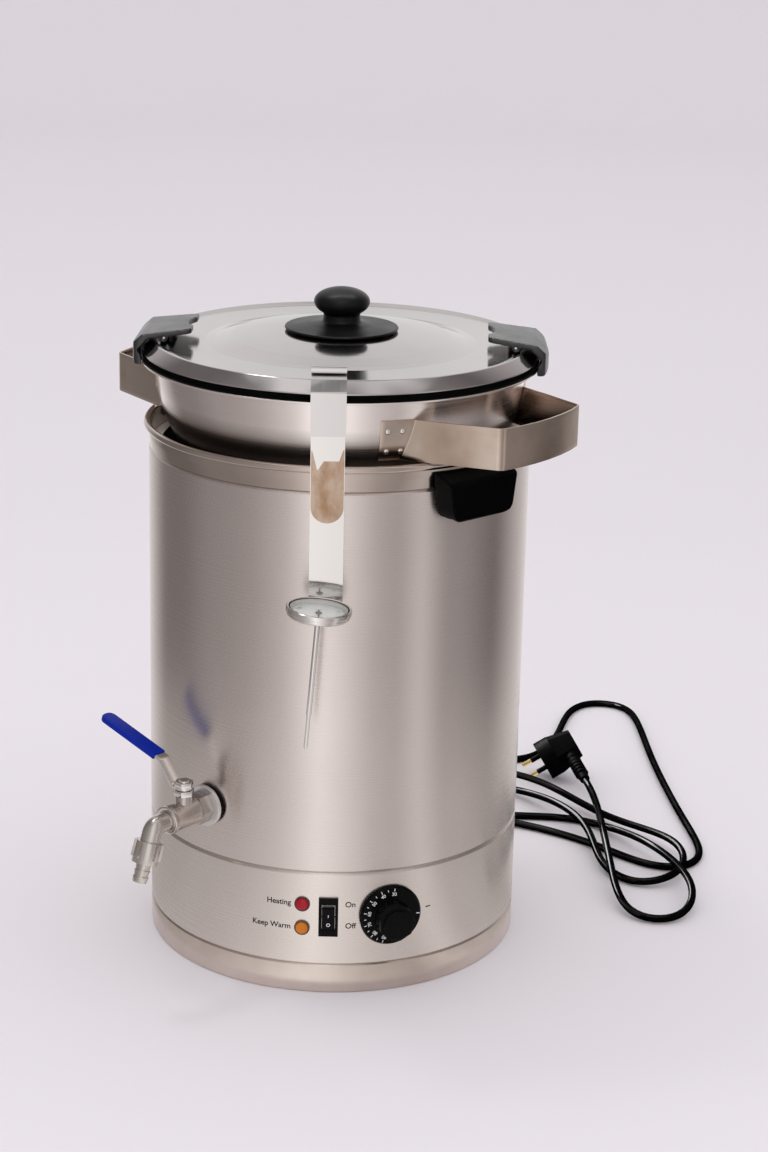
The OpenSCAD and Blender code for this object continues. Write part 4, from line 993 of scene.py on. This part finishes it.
gauge_turns = [120 - 6 * i for i in range(41)]
tick_stops = [at_gauge @ spin(t + 180) @ shift(0, face_r - 3.2, face_top) for t in gauge_turns]
repeat("gauge_ticks", bar(2.0, 0.22), tick_stops, dark_print, "thermometer", slot="dial_face")
gauge_numbers = []
for i in range(7):
    turn = 120 - 40 * i
    place = spin(turn + 180) @ shift(0, face_r - 5.8, face_top)
    gauge_numbers.append((letters(str(20 * i), 2.7), place))
finish_piece("gauge_numbers", join(gauge_numbers), dark_print, "thermometer", place=at_gauge,
             slot="dial_face")
finish_piece("gauge_unit", letters("°C", 3.4), red_print, "thermometer",
             place=at_gauge @ shift(0, 7.5, face_top), slot="dial_face")
print("gauge ticks", len(tick_stops))

# %% [markdown]
# A drawn tube is a circle run along a bent path. A Curve to Mesh node does that in a second tree,
# with flat caps on both ends, and the same bake makes it a plain mesh.

# %% Geometry Nodes: run a tube along a path
tube_tree, given, made = new_tree("run_tube", ("Radius", "NodeSocketFloat"),
                                  ("Finish", "NodeSocketMaterial"))
to_curve = add(tube_tree, "GeometryNodeMeshToCurve")
ring = add(tube_tree, "GeometryNodeCurvePrimitiveCircle", Resolution=48)
sweep_tube = add(tube_tree, "GeometryNodeCurveToMesh")
sweep_tube.inputs["Fill Caps"].default_value = True
make_solid = add(tube_tree, "GeometryNodeRealizeInstances")
tube_finish = add(tube_tree, "GeometryNodeSetMaterial")
chain(tube_tree, given.outputs["Radius"], (ring, "Radius"), (sweep_tube, "Profile Curve"))
chain(tube_tree, given.outputs["Finish"], (tube_finish, "Material"))
chain(tube_tree, given.outputs["Geometry"], (to_curve, "Mesh"), (sweep_tube, "Curve"),
      (make_solid, "Geometry"), (tube_finish, "Geometry"), (made, "Geometry"))


def tube(name, path, radius, finish, body, nodes, place):
    mesh = bpy.data.meshes.new(name + "_path")
    mesh.from_pydata(path, [(i, i + 1) for i in range(len(path) - 1)], [])
    result = bake(name, mesh, tube_tree, Radius=radius, Finish=finish)
    result.transform(to_metres @ place)
    return place_mesh(name, result, finish, body, nodes, 50)


print("node tree", tube_tree.name)

# %% [markdown]
# The drain tap is cast and machined stainless steel. Its hexagons and collars come from their
# solids with broken edges. The spout is a drawn tube, so a round section is run along a bent path.

# %% Tap
tap_turn = -40.5
tap_z = 143
stem_out = urn_r + 27
lever_z = 164
washer_steel = steel("washer_steel", (0.80, 0.79, 0.79), (0.74, 0.73, 0.72), 0.42, (40, 40, 40))
on_tap = spin(tap_turn) @ shift(0, 0, tap_z)
out_of_wall = on_tap @ tilt(90, "X")
tap_seal_line = [(11, urn_r - 1), (15.6, urn_r - 1), (15.6, urn_r + 4.4), (11, urn_r + 4.4)]
finish_piece("tap_seal", turned(tap_seal_line, 0.8, 4, 72), black_rubber, "urn", ("tap_gasket",),
             place=out_of_wall, smooth=40)
washer_outline = [(10.4, urn_r + 4.5), (15.7, urn_r + 4.5), (15.7, urn_r + 2.6),
                  (16.4, urn_r + 2.6), (16.4, urn_r + 5.9), (10.4, urn_r + 5.9)]
finish_piece("tap_washer", turned(washer_outline, 0.3, 4, 96), washer_steel, "urn",
             ("tap_flange",), place=out_of_wall, smooth=40)
from_cad("tap_lock_nut", bright_steel, 0.5)
from_cad("valve_body", cast_steel, 0.5)
from_cad("packing_nut", bright_steel, 0.4)
from_cad("union_nut", cast_steel, 0.4)
from_cad("hose_tail", cast_steel, 0.2)
elbow_out = urn_r + 60
elbow_turn = math.radians(69)
spout_l = 12
spout_end = (elbow_out + spout_l * math.cos(elbow_turn), -spout_l * math.sin(elbow_turn))
spout_line = soften([(urn_r + 45, 0), (elbow_out, 0), spout_end], 10, 14, closed=False)
tube("spout_bend", [(0, -out, up) for out, up in spout_line], 7.5, cast_steel, "urn",
     ("spout_elbow",), place=on_tap)
ring_near, ring_far = urn_r + 42.2, urn_r + 46.4
ring_line = [(8, ring_near), (10.9, ring_near), (10.9, ring_far), (8, ring_far)]
finish_piece("spout_ring", turned(ring_line, 0.9, 4, 64), bright_steel, "urn", place=out_of_wall,
             slot="fitting_steel", smooth=40)
print("tap at", tap_turn, "degrees")

# %% [markdown]
# The lever is a bent strip with an eye on the stem and a dipped vinyl sleeve. The sleeve's end is
# round in plan, so it is drawn flat with its edges rounded and then laid along the slope.

# %% Lever
lever_w = 10.6
eye_r = 6.5
lever_reach = 84
knee = (22, 18)
tip_z = 36
slope = math.atan2(tip_z - knee[1], lever_reach - knee[0])
lever_view = Matrix(((-1, 0, 0, 0), (0, 0, 1, 0), (0, 1, 0, 0), (0, 0, 0, 1)))
at_lever = spin(tap_turn) @ shift(0, -stem_out, lever_z)
blade_line = [(1, 1), (8.6, 1), (knee[0] - 0.6, knee[1] + 1), (lever_reach - 1, tip_z + 0.8)]
blade = bent(blade_line, 2, lever_w, 3.2)
eye = turned([(4.05, 0), (eye_r, 0), (eye_r, 2), (4.05, 2)], 0.3, 2, 48)
finish_piece("lever_blade", join([(blade, lever_view), (eye, Matrix())]), bright_steel, "lever",
             ("tap_lever",), place=at_lever, smooth=40)
sleeve_start = 4.5
sleeve_l = math.hypot(lever_reach - knee[0], tip_z - knee[1]) + 2
sleeve_w = lever_w + 2
sleeve_line = [(sleeve_start, -sleeve_w / 2, 1.2), (sleeve_l, -sleeve_w / 2, 7),
               (sleeve_l, sleeve_w / 2, 7), (sleeve_start, sleeve_w / 2, 1.2)]
sleeve = slab(soften(sleeve_line, 1, 8), 4.4, 1.5, 4)
along = Vector((-math.cos(slope), 0, math.sin(slope)))
over = Vector((math.sin(slope), 0, math.cos(slope)))
slope_view = Matrix((along, over.cross(along), over)).transposed().to_4x4()
knee_place = shift(-knee[0], 0, knee[1] + 1) @ slope_view @ shift(0, 0, -2.2)
finish_piece("lever_grip", sleeve, blue_vinyl, "lever", ("lever_sleeve",),
             place=at_lever @ knee_place, smooth=50)
from_cad("lever_nut", bright_steel, 0.4)
from_cad("tap_stem", bright_steel, 0.4)
print("sleeve length", round(sleeve_l - sleeve_start, 1), "mm")

# %% [markdown]
# The control row has a rocker switch, two lamps and a thermostat knob. They come from their solids
# with moulded edges. The lamps' rims share one node, so their red and amber change with height.
# The knob is widened a little about its own axis.

# %% Controls
controls_z = 65
from_cad("switch_housing", gloss_black, 0.5)
from_cad("rocker", gloss_black, 0.5, 3)
rim_finish, rim_tree, rim_shader = start_finish("lamp_rims", Roughness=0.25)
upper = between(rim_tree, own_axes(rim_tree)["Z"], 0.0, 1.0, (controls_z - 1) * MM,
                (controls_z + 1) * MM)
rim_tree.links.new(blend_colours(rim_tree, upper, (0.12, 0.045, 0.004), (0.09, 0.002, 0.006)),
                   rim_shader.inputs["Base Color"])
from_cad("lamp_bezels", rim_finish, 0.35)
from_cad("red_lamp", red_glow, 0.3)
from_cad("amber_lamp", amber_glow, 0.3)
dial_place = spin(17.5) @ shift(0, -urn_r - 4.0, controls_z) @ tilt(90, "X")
dial_wide = 1.09
widen = Matrix.Diagonal((dial_wide, dial_wide, 1, 1))
dial_axis = to_metres @ dial_place
dial_piece = from_cad("dial_knob", gloss_black, 0.7, 3)
dial_piece.data.transform(dial_axis @ widen @ dial_axis.inverted())
print("dial widened", dial_wide)

# %% [markdown]
# The rocker's marks lie on its two slopes, and the dial's numbers turn with the knob. Words on the
# urn are wrapped round its wall: the way along a word becomes a turn about the urn's axis.

# %% Printing on the controls
face_rise, face_half = 1.6, 9.75
rocker_place = spin(-1) @ shift(0, -urn_r + 1.5, controls_z) @ tilt(9, "X")
face_slope = math.degrees(math.atan2(face_rise, face_half))
marks = []
for word, height, lean in (("I", 2.0, 1), ("O", -5.6, -1)):
    out = 3.6 + face_rise * abs(height) / face_half + 0.03
    place = shift(0, -out, height) @ tilt(lean * face_slope, "X") @ tilt(90, "X")
    marks.append((letters(word, 2.7), place))
finish_piece("rocker_marks", join(marks), white_print, "switch_rocker", place=rocker_place,
             slot="gloss_black")
dial_numbers = []
dial_ticks = []
for i in range(13):
    turn = 84 + 14 * i
    long_tick = i % 2 == 0
    dial_ticks.append((bar(2.2 if long_tick else 1.5, 0.55), spin(turn - 90) @ shift(0, 18.9, 0)))
    if long_tick:
        place = spin(turn - 90) @ shift(0, 16.7, 0)
        dial_numbers.append((letters(str(30 + 5 * i), 2.5), place))
dial_ticks.append((bar(2.4, 0.8), spin(-90) @ shift(0, 18.7, 0)))
finish_piece("dial_print", join(dial_numbers + dial_ticks), white_print, "dial",
             place=dial_place @ widen, slot="gloss_black")


def wrap(name, mesh, degrees, z):
    """Bends flat printing round the urn's wall, its own origin at a direction and height."""
    for vert in mesh.verts:
        turn = math.radians(degrees) + vert.co.x / urn_r
        r = urn_r + 0.05 + vert.co.z
        vert.co = (r * math.sin(turn), -r * math.cos(turn), z + vert.co.y)
    return finish_piece(name, mesh, dark_print, "urn", slot="jacket_steel")


word_h = 4.4
for word, align, degrees, z in (("On", "CENTER", 5.5, 75), ("Off", "CENTER", 5.6, 57),
                                ("Heating", "RIGHT", -12.2, 75), ("Keep Warm", "RIGHT", -12.2, 55)):
    wrap("word_" + word.lower().replace(" ", "_"), letters(word, word_h, align), degrees, z)
index_mark = bar(4.2, 0.9)
index_mark.transform(spin(-90))
wrap("dial_index", index_mark, 29.2, 66)
print("dial ticks", len(dial_ticks))

# %% [markdown]
# The mains plug is moulded in one piece with a tapered tail that keeps the cord from kinking. Ribs
# on the tail are one ring set out along it. The pins are metal with dark sleeves at their roots.

# %% Plug and gland
from_cad("cable_gland", black_plastic, 0.6, 3)
plug_piece = from_cad("plug_body", black_plastic, 0.9, 3)
rib_stops = [plug_place @ shift(12, -plug_r - 7 - 4.5 * i, 0) @ tilt(90, "X") for i in range(5)]
rib = lathe([(5.3 + 1.1 * math.cos(a), 1.2 * math.sin(a)) for a in ring_turns], 32)
tail_ribs = repeat("tail_ribs", rib, rib_stops, black_plastic, "urn", slot="black_plastic",
                   smooth=60)
pin_r = 2.4
pin_stops = [plug_place @ shift(-plug_face, side * 9.5, 0) @ tilt(-90, "Y") for side in (-1, 1)]
tip_line = [(0, 8, 0), (pin_r - 0.2, 8, 0), (pin_r - 0.2, 19, 1.6), (0, 19, 0)]
tip = turned(tip_line, 1, 5, 28, closed=False)
pin_tips = repeat("pin_tips", tip, pin_stops, brass_metal, "urn", ("plug_pins",), smooth=50)
root_line = [(0, -0.5, 0), (pin_r, -0.5, 0), (pin_r, 9.5, 0.5), (0, 9.5, 0)]
root = turned(root_line, 1, 3, 28, closed=False)
pin_sleeves = repeat("pin_sleeves", root, pin_stops, black_plastic, "urn", slot="black_plastic",
                     smooth=50)
print("plug ribs", len(rib_stops))

# %% [markdown]
# The floor is a wide disc that curves up into a wall all round, so that no line shows where they
# meet, from whichever side the object is seen. It is pale, with painted light that makes it paler
# in front.

# %% Floor and backdrop
flat_r = 5.0
bend_r = 1.2
wall_h = 2.6
bend_turns = [0.5 * math.pi * i / 10 for i in range(11)]
sweep_line = [(0, 0)] + [(flat_r + bend_r * math.sin(a), bend_r * (1 - math.cos(a)))
                         for a in bend_turns]
sweep_line += [(flat_r + bend_r, wall_h)]
backdrop_mesh = to_data("backdrop", lathe(sweep_line, 128, closed=False))
backdrop_mesh.shade_smooth()
backdrop_paper, paper_tree, paper_shader = start_finish("backdrop_paper", Roughness=0.9,
                                                        Specular_IOR_Level=0.1)
# Painted light: the paper's colour is blended paler towards the front, as if more light fell there.
depth = between(paper_tree, own_axes(paper_tree)["Y"], 0.0, 1.0, -0.6, 1.2)
paper_tree.links.new(blend_colours(paper_tree, depth, (0.895, 0.865, 0.90), (0.81, 0.78, 0.81)),
                     paper_shader.inputs["Base Color"])
backdrop_mesh.materials.append(backdrop_paper)
backdrop = new_object("backdrop", backdrop_mesh)
print("backdrop to %.1f m" % (flat_r + bend_r))

# %% [markdown]
# Brushed steel shows the room more than its own colour, so the room is part of the finish. A soft
# white sky lights everything evenly. In reflections it is patchy, as a room's ceiling is.

# %% Sky
sky = bpy.data.worlds.new("studio_sky")
bpy.context.scene.world = sky
sky.use_nodes = True
sky_tree = sky.node_tree
sky_light = sky_tree.nodes["Background"]
sky_light.inputs["Color"].default_value = (1.0, 0.985, 1.0, 1)
rays = add(sky_tree, "ShaderNodeLightPath")
above = add(sky_tree, "ShaderNodeTexCoord")
ceiling = add(sky_tree, "ShaderNodeTexNoise", Scale=2.2, Detail=1.0)
chain(sky_tree, above.outputs["Generated"], (ceiling, "Vector"))
sky_level = add(sky_tree, "ShaderNodeMix", data_type="FLOAT")
sky_level.inputs[2].default_value = 0.97
chain(sky_tree, between(sky_tree, ceiling.outputs["Fac"], 0.15, 1.05, 0.38, 0.62), (sky_level, 3))
chain(sky_tree, rays.outputs["Is Glossy Ray"], (sky_level, "Factor"), (sky_light, "Strength"))
print("sky", sky.name)

# %% [markdown]
# A ring of cards, seen only in reflections, gives the urn its tall bands: a bright card in front,
# darker and warmer ones at both sides, pale again behind. The same card lies flat round the urn's
# foot, paler, as a floor is. One colour ramp round the axis holds every level, so that a band is
# moved by one number. Two narrow cards hang overhead.

# %% Reflection cards
cards_in, cards_r, cards_h = 0.165, 0.58, 1.3


def glow_finish(name, strength):
    """A material that only shines."""
    finish = bpy.data.materials.new(name)
    finish.use_nodes = True
    tree = finish.node_tree
    tree.nodes.clear()
    glow = add(tree, "ShaderNodeEmission", Strength=strength)
    chain(tree, glow.outputs["Emission"], (add(tree, "ShaderNodeOutputMaterial"), "Surface"))
    return finish, tree, glow


cards_mesh = to_data("reflection_cards", lathe(
    [(cards_in, 0.0005), (cards_r, 0.001), (cards_r, cards_h)], 96, closed=False))
card_light, card_tree, glow = glow_finish("card_light", 1.0)
own = own_axes(card_tree)
flip = add(card_tree, "ShaderNodeMath", operation="MULTIPLY")
flip.inputs[1].default_value = -1
round_turn = add(card_tree, "ShaderNodeMath", operation="ARCTAN2")
chain(card_tree, own["Y"], (flip, 0), (round_turn, 1))
chain(card_tree, own["X"], (round_turn, 0))
ramp = add(card_tree, "ShaderNodeValToRGB")
share = between(card_tree, round_turn.outputs["Value"], 0.0, 1.0, -math.pi, math.pi)
paler = add(card_tree, "ShaderNodeVectorMath", operation="MULTIPLY_ADD")
paler.inputs[1].default_value = (0.6, 0.6, 0.6)
paler.inputs[2].default_value = (0.36, 0.345, 0.34)
chain(card_tree, share, (ramp, "Fac"), (paler, 0))
upright = between(card_tree, own["Z"], 0.0, 1.0, 0.002, 0.05)
chain(card_tree, blend_colours(card_tree, upright, paler.outputs["Vector"], ramp.outputs["Color"]),
      (glow, "Color"))
card_levels = [(-157, 0.95), (-135, 0.64), (-115, 0.20), (-92, 0.21), (-74, 0.30), (-59, 0.33),
               (-45, 0.40), (-32, 0.54), (-26, 0.63), (-8, 1.15), (9, 0.77), (20, 0.53), (32, 0.42),
               (45, 0.70), (59, 0.34), (70, 0.33), (82, 0.26), (97, 0.17), (115, 0.46), (157, 0.95)]
for degrees, level in card_levels:
    stop = ramp.color_ramp.elements.new((degrees + 180) / 360)
    pale = min(level, 1)
    stop.color = (level, level * (0.90 + 0.09 * pale), level * (0.89 + 0.1 * pale), 1)
for end in (0, -1):
    ramp.color_ramp.elements[end].color = (0.8, 0.8, 0.8, 1)
cards_mesh.materials.append(card_light)
reflection_cards = new_object("reflection_cards", cards_mesh)

top_mesh = bpy.data.meshes.new("top_cards")
top_z = 1.5
top_rows = [(-0.45, 0.45, 0.26, 0.33), (-0.40, 0.40, -0.95, -0.88)]
top_corners = [(x, y, top_z) for x0, x1, y0, y1 in top_rows
               for x, y in ((x0, y0), (x0, y1), (x1, y1), (x1, y0))]
top_faces = [(i, i + 1, i + 2, i + 3) for i in range(0, len(top_corners), 4)]
top_mesh.from_pydata(top_corners, [], top_faces)
top_mesh.materials.append(glow_finish("top_light", 24.0)[0])
top_cards = new_object("top_cards", top_mesh)
for card in (reflection_cards, top_cards):
    card.visible_camera = False
    card.visible_diffuse = False
    card.visible_shadow = False
    card.visible_transmission = False
print("cards", len(card_levels))

# %% [markdown]
# Pale cards would turn black parts grey, so light linking keeps the ring off the cord and the dull
# black parts. The narrow cards draw bright lines on the knob and the clips only, and a small lamp
# behind draws the cord's. A weak softbox above gives the faint shadow on the floor.

# %% Linked light and lamps


def linked(name, finishes, state):
    """A collection of the pieces in some finishes, for a light to reach only or to leave out."""
    group = bpy.data.collections.new(name)
    for piece in list(bpy.context.scene.objects):
        if piece.type in ("MESH", "CURVE") and any(f in finishes for f in piece.data.materials):
            group.objects.link(piece)
    for member in group.collection_objects:
        member.light_linking.link_state = state
    return group


def area_light(name, size, energy, at, toward):
    """A soft lamp at a place, turned toward a point."""
    lamp = bpy.data.lights.new(name, "AREA")
    lamp.shape = "RECTANGLE"
    lamp.size, lamp.size_y = size
    lamp.energy = energy
    aim = (Vector(toward) - Vector(at)).to_track_quat("-Z", "Y").to_matrix().to_4x4()
    place = new_object(name, lamp)
    place.matrix_world = Matrix.Translation(at) @ aim
    return place


top_cards.light_linking.receiver_collection = linked(
    "lined_parts", (knob_black, clip_plastic), "INCLUDE")
reflection_cards.light_linking.receiver_collection = linked(
    "flagged_parts", (cord_rubber, black_plastic, black_rubber), "EXCLUDE")
cord_light = area_light("cord_light", (0.5, 0.15), 2.0, (0.08, 0.52, 0.25), (0.36, 0.2, 0))
cord_light.light_linking.receiver_collection = linked(
    "cord_parts", (cord_rubber, black_plastic), "INCLUDE")
softbox = area_light("softbox", (0.32, 0.26), 3.0, (-0.7, 0.35, 2.2), (0, 0, 0.2))
print("lamps", cord_light.name, softbox.name)

# %% [markdown]
# Last, the view layer is updated.

# %% Update the scene
bpy.context.view_layer.update()
